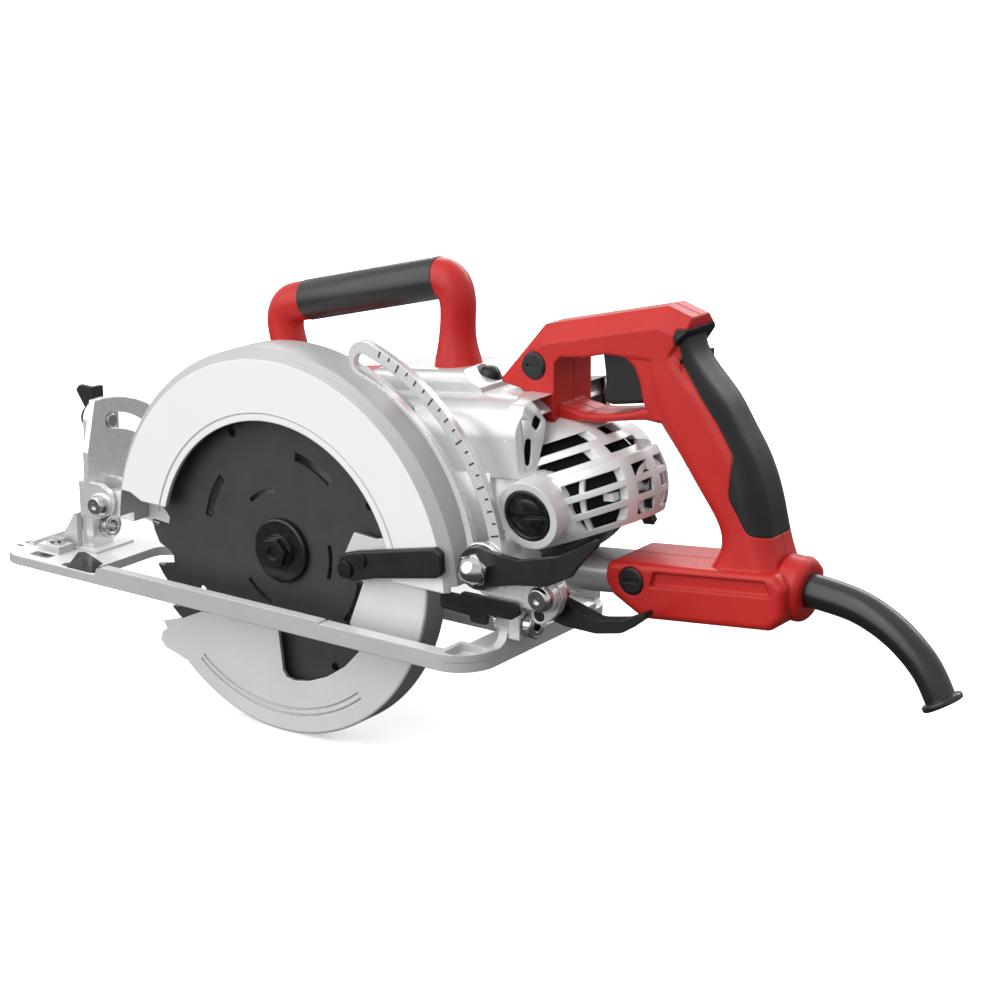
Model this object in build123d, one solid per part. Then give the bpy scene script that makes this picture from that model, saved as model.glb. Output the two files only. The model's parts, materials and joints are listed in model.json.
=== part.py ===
from build123d import *
import math
import os

# ------------------------------------------------------------------
# Worm drive circular saw. Millimetres and degrees.
# +X points to the rear handle, +Y from the blade side to the motor side,
# +Z up. The origin lies on the sole of the foot, straight under the arbor,
# in the plane of the blade.
# ------------------------------------------------------------------

# ---- driving dimensions ----
BLADE_R = 92.1            # 7-1/4 inch blade
BLADE_T = 1.8
TEETH = 24
ARBOR_Z = 32.0            # arbor above the sole at full depth of cut
ARBOR_R = 7.94            # 5/8 inch arbor
TILT = 6.3                # rise of the motor axis towards the rear
CENTRE = 31.0             # worm to wheel centre distance
MOTOR_Y = 52.0            # motor axis from the blade plane
WHEEL_TEETH = 18
WORM_STARTS = 4
MODULE = 2.0

GX, GZ = 1.5, 24.5        # centre of the upper guard
RIM_R = 113.5
OPEN_R = 77.0
UG_L, UG_R = -10.5, 17.0  # left and right faces of the upper guard

LG_R = 97.0               # lower guard
LG_L, LG_RT = -7.5, 9.0

Q = (-130.0, 34.0)        # depth pivot (x, z)
P = (163.0, 38.2)         # pin of the depth link (x, z)
B = (128.9, 47.9)         # depth clamp bolt (x, z)
SLOT_C = (22.92, 35.75)   # centre of the slot of the depth link
SLOT_R = 106.93
LINK_Y0, LINK_Y1 = -3.5, 0.5
BEV_Y, BEV_Z = 10.0, 18.8 # bevel axis
QUAD_R = 58.0             # radius of the bevel slot
BOLT_A = 7.0              # lean of the bevel bolt from the upright line through the bevel axis
RAIL_H = 10.0             # height of the side rail of the foot
BEVEL_MAX = 50.0
STOP = (158.0, 27.0)       # pin of the bevel stop lever (x, z)

FOOT_X0, FOOT_X1 = -183.5, 139.0
FOOT_Y0, FOOT_Y1 = -29.0, 96.0
PLATE_T = 5.0

MW = CENTRE               # height of the motor axis in the tilted frame

os.makedirs("parts", exist_ok=True)
NODES = {}


# ---- helpers ----
def wire(pts, r=None):
    if r is None:
        return Polyline(*pts, close=True)
    return FilletPolyline(*pts, radius=r, close=True)


def xz(pts, y0, y1, r=None):
    pl = Plane(origin=(0, y1, 0), x_dir=(1, 0, 0), z_dir=(0, -1, 0))
    return extrude(pl * make_face(wire(pts, r)), y1 - y0, dir=(0, -1, 0))


def yz(pts, x0, x1, r=None):
    pl = Plane(origin=(x0, 0, 0), x_dir=(0, 1, 0), z_dir=(1, 0, 0))
    return extrude(pl * make_face(wire(pts, r)), x1 - x0, dir=(1, 0, 0))


def xy(pts, z0, z1, r=None):
    pl = Plane(origin=(0, 0, z0))
    return extrude(pl * make_face(wire(pts, r)), z1 - z0, dir=(0, 0, 1))


def cy(x, z, y0, y1, r):
    return Pos(x, (y0 + y1) / 2, z) * Rot(90, 0, 0) * Cylinder(r, y1 - y0)


def cx(y, z, x0, x1, r):
    return Pos((x0 + x1) / 2, y, z) * Rot(0, 90, 0) * Cylinder(r, x1 - x0)


def cz(x, y, z0, z1, r):
    return Pos(x, y, (z0 + z1) / 2) * Cylinder(r, z1 - z0)


def bx(x0, x1, y0, y1, z0, z1):
    return Pos((x0 + x1) / 2, (y0 + y1) / 2, (z0 + z1) / 2) * Box(x1 - x0, y1 - y0, z1 - z0)


def tube_y(x, z, y0, y1, ro, ri):
    return cy(x, z, y0, y1, ro) - cy(x, z, y0 - 1, y1 + 1, ri)


def tube_x(y, z, x0, x1, ro, ri):
    return cx(y, z, x0, x1, ro) - cx(y, z, x0 - 1, x1 + 1, ri)


def arc(c, r, a0, a1, n):
    return [(c[0] + r * math.cos(math.radians(a0 + (a1 - a0) * i / n)),
             c[1] + r * math.sin(math.radians(a0 + (a1 - a0) * i / n))) for i in range(n + 1)]


def sector(c, ri, ro, a0, a1, y0, y1):
    # ring sector in the XZ plane with true arcs, angles from +X towards +Z
    def pt(r, a):
        return (c[0] + r * math.cos(math.radians(a)), c[1] + r * math.sin(math.radians(a)))
    am = (a0 + a1) / 2
    w = [ThreePointArc(pt(ro, a0), pt(ro, am), pt(ro, a1)), Line(pt(ro, a1), pt(ri, a1)),
         ThreePointArc(pt(ri, a1), pt(ri, am), pt(ri, a0)), Line(pt(ri, a0), pt(ro, a0))]
    pl = Plane(origin=(0, y1, 0), x_dir=(1, 0, 0), z_dir=(0, -1, 0))
    return extrude(pl * make_face(w), y1 - y0, dir=(0, -1, 0))


def round_edges(shape, edges, radii):
    for r in radii:
        try:
            out = fillet(edges, r)
            if out.is_valid and len(out.solids()) == len(shape.solids()):
                return out
        except Exception:
            pass
    return shape


def hexprism_y(x, z, y0, y1, af, rot=0.0):
    rr = af / math.sqrt(3)
    return xz([(x + rr * math.cos(math.radians(60 * i + rot)), z + rr * math.sin(math.radians(60 * i + rot)))
               for i in range(6)], y0, y1)


FRAME = Pos(0, 0, ARBOR_Z) * Rot(0, -TILT, 0)   # tilted frame of gear case and motor


def loc(u, w):
    c, s = math.cos(math.radians(TILT)), math.sin(math.radians(TILT))
    return (u * c - w * s, ARBOR_Z + u * s + w * c)


def add(name, shape):
    solids = shape.solids()
    assert solids, name
    NODES[name] = solids[0] if len(solids) == 1 else Compound(children=list(solids))


def cut(a, *others):
    for o in others:
        a = a - o
    return a


# ==================================================================
# Blade and arbor (turn about Y through the arbor)
# ==================================================================
def blade_face():
    pts = []
    step = 360.0 / TEETH
    for i in range(TEETH):
        a = i * step
        # leading edge of the tooth, tip land, then the sloping gullet
        for r, d in ((80.0, 0.6), (BLADE_R, 0.0), (BLADE_R - 1.6, 3.6), (BLADE_R - 4.2, 7.8), (82.0, 10.2), (79.2, 12.4)):
            t = math.radians(a + d)
            pts.append((r * math.cos(t), ARBOR_Z + r * math.sin(t)))
    return pts


blade = xz(blade_face(), -BLADE_T / 2, BLADE_T / 2)
blade -= cy(0, ARBOR_Z, -3, 3, ARBOR_R)
# expansion slots from the rim and the sound-damping slots between hub and rim
for k in range(4):
    t = 30 + 90 * k
    slot = bx(66, 96, -3, 3, -0.75, 0.75) + cy(66, 0, -3, 3, 2.6)
    blade -= Pos(0, 0, ARBOR_Z) * Rot(0, -t, 0) * slot
    blade -= sector((0, ARBOR_Z), 49.2, 54.0, t + 22, t + 50, -3, 3)
for k in range(3):
    blade -= sector((0, ARBOR_Z), 30.0, 32.4, 100 + 120 * k, 134 + 120 * k, -3, 3)
add("blade", blade)

inner_flange = tube_y(0, ARBOR_Z, 0.9, 5.0, 17.0, ARBOR_R) - tube_y(0, ARBOR_Z, 0.9, 1.6, 12.0, ARBOR_R)
inner_flange += tube_y(0, ARBOR_Z, 5.0, 6.0, 11.0, ARBOR_R)
add("inner_flange", inner_flange)

outer_flange = tube_y(0, ARBOR_Z, -4.4, -0.9, 17.0, 4.0)
outer_flange -= tube_y(0, ARBOR_Z, -1.5, -0.9, 12.0, 4.0)
outer_flange = round_edges(outer_flange, outer_flange.edges().filter_by(GeomType.CIRCLE).sort_by(Axis.Y)[:1], (1.2, 0.8))
add("outer_flange", outer_flange)

arbor = cy(0, ARBOR_Z, -0.8, 80.0, ARBOR_R) - cy(0, ARBOR_Z, -2, 20.0, 4.0)
arbor -= bx(-12, 12, 66.0, 69.0, ARBOR_Z + 6.2, ARBOR_Z + 12)       # lock flat
add("arbor_shaft", arbor)

bolt = hexprism_y(0, ARBOR_Z, -10.0, -5.6, 14.0, 12) + cy(0, ARBOR_Z, -5.6, -4.4, 9.0) + cy(0, ARBOR_Z, -4.4, 19.0, 4.0)
bolt -= cy(0, ARBOR_Z, -10.5, -8.8, 3.2)
add("blade_bolt", bolt)


def toothed(n, ro, ri, share_tip, share_root):
    pts = []
    for i in range(n):
        a = 360.0 / n * i
        h, g = 180.0 / n * share_tip, 180.0 / n * share_root
        for r, d in ((ri, -g), (ro, -h), (ro, h), (ri, g)):
            t = math.radians(a + d)
            pts.append((r * math.cos(t), r * math.sin(t)))
    return pts


WHEEL_R = MODULE * WHEEL_TEETH / 2          # 18
WORM_R = CENTRE - WHEEL_R                   # 13
LEAD = WORM_STARTS * math.pi * MODULE
LEAD_TAN = LEAD / (2 * math.pi * WORM_R)
WHEEL_B = 12.0
# wheel: slanted teeth that follow the lead of the worm
prof = toothed(WHEEL_TEETH, WHEEL_R + 1.9, WHEEL_R - 2.3, 0.26, 0.60)
secs = []
for k in range(5):
    yy = -WHEEL_B / 2 + WHEEL_B * k / 4
    twist = math.degrees(yy * LEAD_TAN / WHEEL_R)
    secs.append(Pos(0, 0, yy) * Rot(0, 0, twist) * make_face(Polyline(*prof, close=True)))
wheel = loft(secs, ruled=True)
wheel_dir = Rot(90, 0, 0)                   # local +Z of the section stack to -Y
wheel = wheel_dir * wheel
wheel = wheel - cy(0, 0, -20, 20, ARBOR_R)
WHEEL_PHASE = 0.0
wheel = FRAME * (Pos(0, MOTOR_Y, 0) * (Rot(0, WHEEL_PHASE, 0) * wheel))
add("worm_wheel", wheel)

# worm: four starts
dense = []
for i in range(WORM_STARTS):
    a = 360.0 / WORM_STARTS * i
    h, g = 180.0 / WORM_STARTS * 0.22, 180.0 / WORM_STARTS * 0.52
    ro, ri = WORM_R + 1.9, WORM_R - 2.4
    nxt = 360.0 / WORM_STARTS - g
    for r, d in ((ri, -g), (ro, -h), (ro, 0), (ro, h), (ri, g), (ri, (g + nxt) / 2)):
        t = math.radians(a + d)
        dense.append((r * math.cos(t), r * math.sin(t)))
WORM_L = 39.0
secs = []
NSEC = 24
for k in range(NSEC + 1):
    uu = -WORM_L / 2 + WORM_L * k / NSEC
    secs.append(Pos(0, 0, uu) * Rot(0, 0, 360.0 * uu / LEAD) * make_face(Polyline(*dense, close=True)))
worm = loft(secs, ruled=True)
worm = Rot(0, 90, 0) * worm                 # section axis to +X
worm = worm - cx(0, 0, -40, 40, 6.0)
WORM_PHASE = 0.0
worm = FRAME * (Pos(0, MOTOR_Y, MW) * (Rot(WORM_PHASE, 0, 0) * worm))
add("worm", worm)

# ==================================================================
# Armature (turns about the motor axis)
# ==================================================================
def mx(u0, u1, r):
    return cx(MOTOR_Y, MW, u0, u1, r)


def mtube(u0, u1, ro, ri):
    return tube_x(MOTOR_Y, MW, u0, u1, ro, ri)


add("armature_shaft", FRAME * (mx(-44, 194, 6.0)))
core = mtube(62, 104, 21.4, 6.0)
for k in range(12):
    core -= Pos(0, MOTOR_Y, MW) * Rot(30 * k, 0, 0) * bx(60, 106, -1.1, 1.1, 15, 23)
core += mtube(54, 62, 18.5, 6.0) + mtube(104, 112, 18.5, 6.0)       # winding heads
add("armature_core", FRAME * core)
comm = mtube(140, 160, 14.0, 6.0)
for k in range(24):
    comm -= Pos(0, MOTOR_Y, MW) * Rot(15 * k, 0, 0) * bx(139, 161, -0.35, 0.35, 12.6, 15)
add("commutator", FRAME * comm)
fan = mtube(114, 116.5, 30.5, 6.0) + mtube(114, 126, 10.0, 6.0)
for k in range(11):
    fan += Pos(0, MOTOR_Y, MW) * Rot(360 / 11 * k, 0, 0) * bx(116.5, 125, -0.8, 0.8, 9.5, 30.0)
add("cooling_fan", FRAME * fan)

# ==================================================================
# Upper guard
# ==================================================================
ug = cy(GX, GZ, UG_L, UG_R, RIM_R)
ug = chamfer(ug.edges().filter_by(GeomType.CIRCLE).sort_by(Axis.Y)[:1], 5.0)
ug -= cy(GX, GZ, UG_L + 2.5, UG_R - 2.5, RIM_R - 2.8)
ug -= cy(GX, GZ, UG_L - 1, UG_L + 3.5, OPEN_R)
# lower edge: the left wall ends higher than the rim and the back wall
ug -= xz([(-130, 49.5), (-98, 48.5), (-90, 44.8), (-60, 44.2), (60, 32), (130, 32), (130, -110), (-130, -110)], UG_L - 1, UG_L + 2.6)
ug -= xz([(-130, 38), (-60, 20), (60, 14), (90, 34), (130, 36), (130, -110), (-130, -110)], UG_L + 2.6, UG_R + 1)
# arm of the casting that reaches forward to the depth pivot
arm = xz([(-126, 40), (-104, 47), (-84, 47), (-84, 24), (-104, 24), (-126, 27.6)], 14.5, UG_R)
arm += xz([(Q[0], Q[1] + 6.4), (-112, 44), (-106, 40), (-106, 27), (Q[0], Q[1] - 6.4)], 3.0, UG_R)
arm -= cy(GX, GZ, UG_L - 1, UG_R - 2.5, RIM_R - 2.8)
arm += cy(Q[0], Q[1], 1.8, 12.6, 6.5)
arm -= cy(Q[0], Q[1], 12.6, 30, 15.0)
ug = ug + arm
ug -= cy(Q[0], Q[1], -5, 30, 4.05)
ug -= cy(0, ARBOR_Z, UG_R - 4, UG_R + 2, 30.0)
add("upper_guard", ug)

# ==================================================================
# Lower guard (swings about the arbor)
# ==================================================================
A0 = (0.0, ARBOR_Z)


def ap(r, a):
    return (r * math.cos(math.radians(a)), ARBOR_Z + r * math.sin(math.radians(a)))


lg_wall = cy(0, ARBOR_Z, LG_L, LG_L + 2.0, LG_R)
lg_wall = round_edges(lg_wall, lg_wall.edges().filter_by(GeomType.CIRCLE).sort_by(Axis.Y)[:1], (1.6, 1.2))
lg_keep_left = xz([(-90.0, -24.0), (-66.9, -17.0), (-52.6, -10.3), (0.4, -8.5), (3.2, -31.5), (5.6, -34.6), (10.7, -35.3), (20.5, -33.6), (32.4, -28.7), (44.5, -20.5),
                   (53.8, -10.6), (48.4, 4.0), (57.6, 27.0), (50.5, 30), (46, 40), (52, 52), (66, 51), (98, 60), (125, 50), (125, -90), (-70, -90)],
                  LG_L - 1, LG_L + 3)
lg_left = lg_wall & lg_keep_left
lg_right = cy(0, ARBOR_Z, LG_RT - 2.0, LG_RT, LG_R)
lg_keep_right = xz([(-81.9, -28.6), (-58, -12), (-34, 20), (-34, 66), (34, 66), (98, 60), (125, 50), (125, -80), (-60, -80), (-81.0, -35.0)], LG_RT - 3, LG_RT + 1)
lg_right = (lg_right & lg_keep_right)
lg_rim = sector(A0, LG_R - 2.2, LG_R, 222.0, 376.0, LG_L + 1.6, LG_RT)
lg = lg_left + lg_right + lg_rim
lg += tube_y(0, ARBOR_Z, LG_RT - 2.0, 13.0, 33.0, 27.0)
lg -= cy(0, ARBOR_Z, LG_RT - 3, 14.0, 27.0)
# front lip that the work pushes back
lip = xz([(-82.9, -31.6), (-81.2, -27.0), (-66.9, -17.0), (-60.0, -20.0), (-64.0, -40.0), (-70.5, -37.8), (-79.6, -35.6)], LG_L, LG_RT, r=[1.5, 2, 1, 1, 1, 6, 1.5])
lip -= cy(0, ARBOR_Z, LG_L + 2.0, LG_RT - 2.0, LG_R - 2.2)
lg += lip
# long bead along the rim, left standing between two shallow grooves
lg -= sector(A0, 83.2, 84.6, 232, 309, LG_L - 1.0, LG_L + 0.8)
lg -= sector(A0, 86.4, 87.8, 232, 309, LG_L - 1.0, LG_L + 0.8)
# boss that carries the lift lever through the guard opening
lg += cy(52.5, 35.0, -11.2, LG_L + 1.0, 5.0) + cy(62, 41, -11.2, LG_L + 1.0, 4.0)
lg = max(lg.solids(), key=lambda s: s.volume)
add("lower_guard", lg)

lever = xz([(47.5, 30.5), (47.5, 41.5), (58, 45.0), (107, 55.5), (111, 53.5), (111.6, 43.0), (108, 40.2), (70, 33.0), (56, 29.0)],
           -14.8, -11.2, r=[4, 4, 6, 3, 3, 3, 4, 6, 4])
lever = round_edges(lever, lever.faces().sort_by(Axis.Y)[0].edges(), (1.2, 0.8))
lever -= cy(52.5, 35.0, -20, 0, 2.2) + cy(62, 41, -20, 0, 2.0)
add("lift_lever", lever)
ls = cy(52.5, 35.0, -16.6, -14.8, 4.2) + cy(52.5, 35.0, -14.8, -9.0, 2.2)
ls2 = cy(62, 41, -16.0, -14.8, 3.4) + cy(62, 41, -14.8, -9.0, 2.0)
NODES["lower_guard"] = (NODES["lower_guard"] - cy(52.5, 35.0, -12, -9.0, 2.2) - cy(62, 41, -12, -9.0, 2.0)).solids()[0]
add("lever_screws", Compound(children=[ls.solids()[0], ls2.solids()[0]]))

# ==================================================================
# Gear case, cover, bearings
# ==================================================================
gc = cy(0, ARBOR_Z, UG_R, 74.0, 24.5)
gc += cy(0, ARBOR_Z, 6.6, UG_R, 26.9)
gc += cy(0, ARBOR_Z, UG_R, UG_R + 3.0, 34.0)
wbox = bx(-50, 47, 28, 74, 10, 58)
wbox = round_edges(wbox, wbox.edges().filter_by(Axis.X), (10, 6))
wbox = round_edges(wbox, wbox.faces().sort_by(Axis.X)[0].edges(), (8, 4))
gc += FRAME * wbox
# pad behind the guard that carries the front handle, and its web
pad = xz([(-44, 84), (-44, 99), (-38, 104), (48, 114), (60, 106), (60, 84)], UG_R + 1.0, 66)
pad = round_edges(pad, pad.edges().filter_by(Axis.Y), (5, 3))
gc += pad
# flange and web that bolt to the back of the guard
gc += xz([(-78, 48), (-60, 84), (-20, 104), (40, 108), (78, 84), (86, 52), (60, 20), (-60, 24)], UG_R, UG_R + 1.9, r=14)
gc -= FRAME * bx(47, 220, UG_R + 1.9, 130, -80, 160)
gc -= cy(0, ARBOR_Z, 74.0, 90.0, 25.0)
# cavities
gc -= cy(0, ARBOR_Z, 43.0, 76.0, 21.8)
gc -= cy(0, ARBOR_Z, 15.9, 44.0, 12.0)
gc -= cy(0, ARBOR_Z, 0, 16.0, 17.5)
gc -= FRAME * (mx(-32, 34, 17.0))
gc -= FRAME * (mx(34, 48, 15.0))
gc -= FRAME * (mx(-46, -32, 13.0))
add("gear_case", gc)

cover = cy(0, ARBOR_Z, 74.0, 84.0, 24.5) - cy(0, ARBOR_Z, 72, 81.0, 14.0)
cover = round_edges(cover, cover.edges().filter_by(GeomType.CIRCLE).sort_by(Axis.Y)[-1:], (3.0, 1.5))
for k in range(4):
    t = math.radians(45 + 90 * k)
    cover -= cy(18.6 * math.cos(t), ARBOR_Z + 18.6 * math.sin(t), 70, 90, 2.0)
add("gear_cover", cover)

arb_in = tube_y(0, ARBOR_Z, 7.0, 16.0, 17.5, ARBOR_R + 0.05)
arb_out = tube_y(0, ARBOR_Z, 71.0, 80.5, 14.0, ARBOR_R + 0.05)
add("arbor_bearings", Compound(children=[arb_in.solids()[0], arb_out.solids()[0]]))
bf = mtube(-45, -34, 13.0, 6.05)
bm = mtube(35, 46, 15.0, 6.05)
br = mtube(183, 192, 11.0, 6.05)
add("armature_bearings", FRAME * Compound(children=[bf.solids()[0], bm.solids()[0], br.solids()[0]]))
seal = tube_y(0, ARBOR_Z, 30.0, 36.0, 12.0, ARBOR_R + 0.08)
add("oil_seal", seal)

plug = FRAME * (cx(52, 44, -54.0, -50.0, 7.0) - bx(-55, -52.6, 45, 59, 43, 45))
add("oil_plug", plug)

# ==================================================================
# Motor: field case, stator, end bell, brushes
# ==================================================================
# end bell: revolved basket with slots and two brush bosses
EB = [(128.0, 40.0), (142, 39.0), (156, 37.0), (170, 33.6), (180, 29.2), (187.5, 23.4), (193.0, 14.6), (196.0, 6.4), (196.6, 0.0)]
EBS = [(128.0, 40.0), (138, 38.4), (150, 35.0), (160, 30.4), (168, 24.4), (174, 16.5), (177, 8.0), (177.8, 0.0)]
EBD = [(128.0, 40.0), (142, 38.5), (155, 35.5), (167, 31.0), (177, 25.0), (184, 17.5), (188, 8.5), (189.0, 0.0)]


def bell(profile):
    pts = [(u, r) for u, r in profile]
    line = Polyline((profile[0][0], 0), *pts)
    edges = [Line((pts[0][0], 0), pts[0]), Spline(*pts), Line(pts[-1], (pts[0][0], 0))]
    return revolve(make_face(edges), Axis.X)


SLOT_RISE = 16.0            # the rows of air slots climb towards the rear
LEDGE = Pos(169.0, 0, 0) * Rot(0, -SLOT_RISE, 0) * bx(-70, 70, -60, 60, -90, 12.2)


def two_bell(shrink, back):
    # shorter dome over the ledge, fuller drum under it, and a small bottom under the slotted rows
    def part(profile):
        return bell([(u - (0.0 if i == 0 else back), max(r - shrink, 0.0)) for i, (u, r) in enumerate(profile)][:-1] + [(profile[-1][0] - back, 0.0)])
    rows = Pos(169.0, 0, 0) * Rot(0, -SLOT_RISE, 0) * bx(-110, 70, -60, 60, -19.4 + shrink * 0.8, 90)
    return (part(EB) & rows & (Pos(0, 0, -shrink * 0.9) * LEDGE)) + (part(EBD) & rows) + part(EBS)


eb_out = two_bell(0.0, 0.0)
eb_in = two_bell(3.0, 2.6)
BROT = 8.0
FC0, FC1 = 47.0, 128.0
fc = mx(FC0, FC1, 43.0)
box = xz([(FC0, 41.5), (FC0, 79.5), (138, 79.5), (148, 72), (157, 56), (157, 41.5)], MOTOR_Y - 41, MOTOR_Y + 41)
box = round_edges(box, box.edges().filter_by(Axis.X).filter_by_position(Axis.Z, 78, 81), (18, 12, 8))
# chamfered rear corners of the flat flanks
box -= xy([(141, 6), (166, 6), (166, MOTOR_Y - 24), (157.01, MOTOR_Y - 24)], 30, 90)
box -= xy([(141, 98), (166, 98), (166, MOTOR_Y + 24), (157.01, MOTOR_Y + 24)], 30, 90)
fc += box
ped = xz([(44, 60), (44, 88.0), (50, 90.4), (102, 90.4), (106, 87), (114.5, 82.5), (118, 70), (118, 60)], 27, 72)
ped = round_edges(ped, ped.edges().filter_by(Axis.X).filter_by_position(Axis.Z, 90, 91), (6, 3))
fc += ped
fc -= mx(FC0 - 1, 129.0, 33.0)
fc -= bx(127.9, 154, MOTOR_Y - 38, MOTOR_Y + 38, 44.5, 70)
# flank slots in the chamfers
for (yy, w0, w1) in ((MOTOR_Y - 34.5, 47, 58), (MOTOR_Y - 30.5, 62, 69), (MOTOR_Y + 34.5, 47, 58), (MOTOR_Y + 30.5, 62, 69)):
    fc -= bx(138, 170, yy - 2.6, yy + 2.6, w0, w1)
fc -= bx(20, FC0, 0, 110, -40, 120)
fc -= Pos(0, MOTOR_Y, MW) * eb_in
fc -= Pos(0, MOTOR_Y, MW) * Rot(BROT, 0, 0) * cy(150, 0, -60, 60, 17.0)
fc = FRAME * fc
fc -= cy(GX, GZ, -30, UG_R, RIM_R + 0.6)
fc -= NODES["gear_case"]
fc = max(fc.solids(), key=lambda s: s.volume)
add("field_case", fc)

stator = mtube(60, 106, 33.0, 22.4)
stator -= bx(59, 107, MOTOR_Y - 14, MOTOR_Y + 14, MW + 18, MW + 27) + bx(59, 107, MOTOR_Y - 14, MOTOR_Y + 14, MW - 27, MW - 18)
add("stator_core", FRAME * stator)
coil_a = (mtube(52, 60, 31, 22.6) & bx(50, 62, 0, 110, MW + 2, 90)) + (mtube(106, 113, 31, 22.6) & bx(104, 114, 0, 110, MW + 2, 90))
coil_b = (mtube(52, 60, 31, 22.6) & bx(50, 62, 0, 110, -40, MW - 2)) + (mtube(106, 113, 31, 22.6) & bx(104, 114, 0, 110, -40, MW - 2))
coil_a += bx(60, 106, MOTOR_Y - 12, MOTOR_Y + 12, MW + 23.0, MW + 26.9)
coil_b += bx(60, 106, MOTOR_Y - 12, MOTOR_Y + 12, MW - 26.9, MW - 23.0)
add("field_coils", FRAME * Compound(children=[s for s in (coil_a.solids() + coil_b.solids())]))

# end bell
def slab(w, h, u0, u1, v0, v1):
    # level slice of the bell at height w over the motor axis, tilted by the rise of the rows
    return Pos(169.0, MOTOR_Y, MW) * Rot(0, -SLOT_RISE, 0) * bx(u0 - 169.0, u1 - 169.0, v0, v1, w - h / 2, w + h / 2)


eb = Pos(0, MOTOR_Y, MW) * eb_out
boss = Pos(0, MOTOR_Y, MW) * Rot(BROT, 0, 0) * (cy(150, 0, -45.0, 45.0, 17.0))
boss = round_edges(boss, boss.edges().filter_by(GeomType.CIRCLE), (1.5, 1.0))
eb += boss
eb -= Pos(0, MOTOR_Y, MW) * eb_in
# air slots: three rows around the drum and two on the dome, left and right flank
for w in (4.8, -4.3, -13.4):
    for s_ in (-1, 1):
        eb -= slab(w, 5.8, 166, 215, *sorted((s_ * 18.3, s_ * 60)))
        eb -= slab(w, 5.8, 181, 215, *sorted((s_ * 3.0, s_ * 13.0)))
for w, va in ((26.4, 12.0), (17.6, 18.0)):
    for s_ in (-1, 1):
        eb -= slab(w, 5.2, 154, 215, *sorted((s_ * va, s_ * 60)))
    eb -= slab(w, 4.6, 165, 215, -va + 5.5, va - 5.5)
eb += Pos(0, MOTOR_Y, MW) * Rot(BROT, 0, 0) * (tube_y(150, 0, -45.0, -22.0, 17.0, 13.0) + tube_y(150, 0, 22.0, 45.0, 17.0, 13.0))
eb -= Pos(0, MOTOR_Y, MW) * Rot(BROT, 0, 0) * cy(150, 0, -60, 60, 13.2)
# rear bearing seat on three arms, and the band that ties the slotted ribs together inside
eb += mtube(178, 192.6, 13.8, 11.0)
for k in range(3):
    eb += Pos(0, MOTOR_Y, MW) * Rot(120 * k + 90, 0, 0) * bx(180, 186, -2, 2, 12.0, 23.5)
for s_ in (-1, 1):
    band = Pos(0, MOTOR_Y, MW) * (two_bell(2.4, 2.2) - two_bell(5.4, 4.6))
    band &= Pos(0, MOTOR_Y, MW) * bx(171.0, 173.2, *sorted((s_ * 12, s_ * 40)), -24, 12)
    eb += band
eb -= mx(170, 192.0, 11.0)
eb -= mx(185, 194.6, 6.5)
eb = FRAME * eb
eb -= NODES["field_case"]
eb = max(eb.solids(), key=lambda s: s.volume)
add("end_bell", eb)


def brush_set(fn):
    left = Pos(0, MOTOR_Y, MW) * Rot(BROT, 0, 0) * fn(-1)
    right = Pos(0, MOTOR_Y, MW) * Rot(BROT, 0, 0) * fn(1)
    return FRAME * Compound(children=[left.solids()[0], right.solids()[0]])


def ycap(s):
    a, b_ = sorted((s * 39.5, s * 44.2))
    c = cy(150, 0, a, b_, 13.2)
    c -= bx(140, 160, *sorted((s * 43.0, s * 46)), -1.2, 1.2)
    return c


def ytube(s):
    a, b_ = sorted((s * 15.5, s * 39.5))
    t = cy(150, 0, a, b_, 8.5) - bx(145.5, 154.5, a - 1, b_ + 1, -5.0, 5.0)
    t += tube_y(150, 0, *sorted((s * 34.0, s * 39.5)), 13.2, 8.5)
    return t


def ybrush(s):
    a, b_ = sorted((s * 14.4, s * 32.0))
    return bx(145.6, 154.4, a, b_, -4.9, 4.9)


add("brush_caps", brush_set(ycap))
add("brush_tubes", brush_set(ytube))
add("carbon_brushes", brush_set(ybrush))

# ==================================================================
# Depth clamp: bolt in the body, lever and acorn nut on it
# ==================================================================
boss = cy(B[0], B[1], 1.2, 30.0, 10.5)
boss += xz([(B[0] - 11, B[1]), (B[0] - 20, 60), (B[0] - 18, 72), (B[0] + 8, 70), (B[0] + 11, B[1])], 16.0, 30.0)
boss -= NODES["field_case"]
fcm = FRAME * mx(FC0, FC1, 43.0)
boss -= fcm
boss -= FRAME * (Pos(0, MOTOR_Y, MW) * Rot(BROT, 0, 0) * cy(150, 0, -60, 60, 17.0))
boss = max(boss.solids(), key=lambda s: s.volume)
boss -= NODES["gear_case"]
field_case = NODES["field_case"] + boss
field_case -= cy(B[0], B[1], 0.0, 24.0, 4.2)
field_case = max(field_case.solids(), key=lambda s: s.volume)
eb2 = NODES["end_bell"] - field_case
NODES["field_case"] = field_case
NODES["end_bell"] = max(eb2.solids(), key=lambda s: s.volume)

depth_bolt = cy(B[0], B[1], -14.5, 24.0, 4.2)
add("depth_bolt", depth_bolt)
washer = tube_y(B[0], B[1], -5.9, -3.9, 12.2, 4.2)
washer = round_edges(washer, washer.edges().filter_by(GeomType.CIRCLE).sort_by(Axis.Y)[:1], (0.8,))
add("depth_washer", washer)
dl = cy(B[0], B[1], -9.8, -6.2, 10.5)
dl += xz([(B[0] - 3, B[1] - 9.5), (B[0] + 12, B[1] - 6.6), (152.0, 44.0), (169.5, 46.6), (182.0, 53.2), (187.0, 60.0), (197.4, 71.6), (196.2, 74.6),
          (184.8, 67.6), (174.5, 62.0), (153.0, 56.4), (143, 57.0), (B[0] + 2, B[1] + 10.0)],
         -9.6, -6.3, r=[1, 5, 8, 8, 4, 4, 1, 1, 8, 8, 6, 6, 1])
dl -= cy(B[0], B[1], -20, 0, 4.25)
add("depth_lever", dl)
nut = hexprism_y(B[0], B[1], -13.4, -9.8, 15.0, 20)
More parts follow.
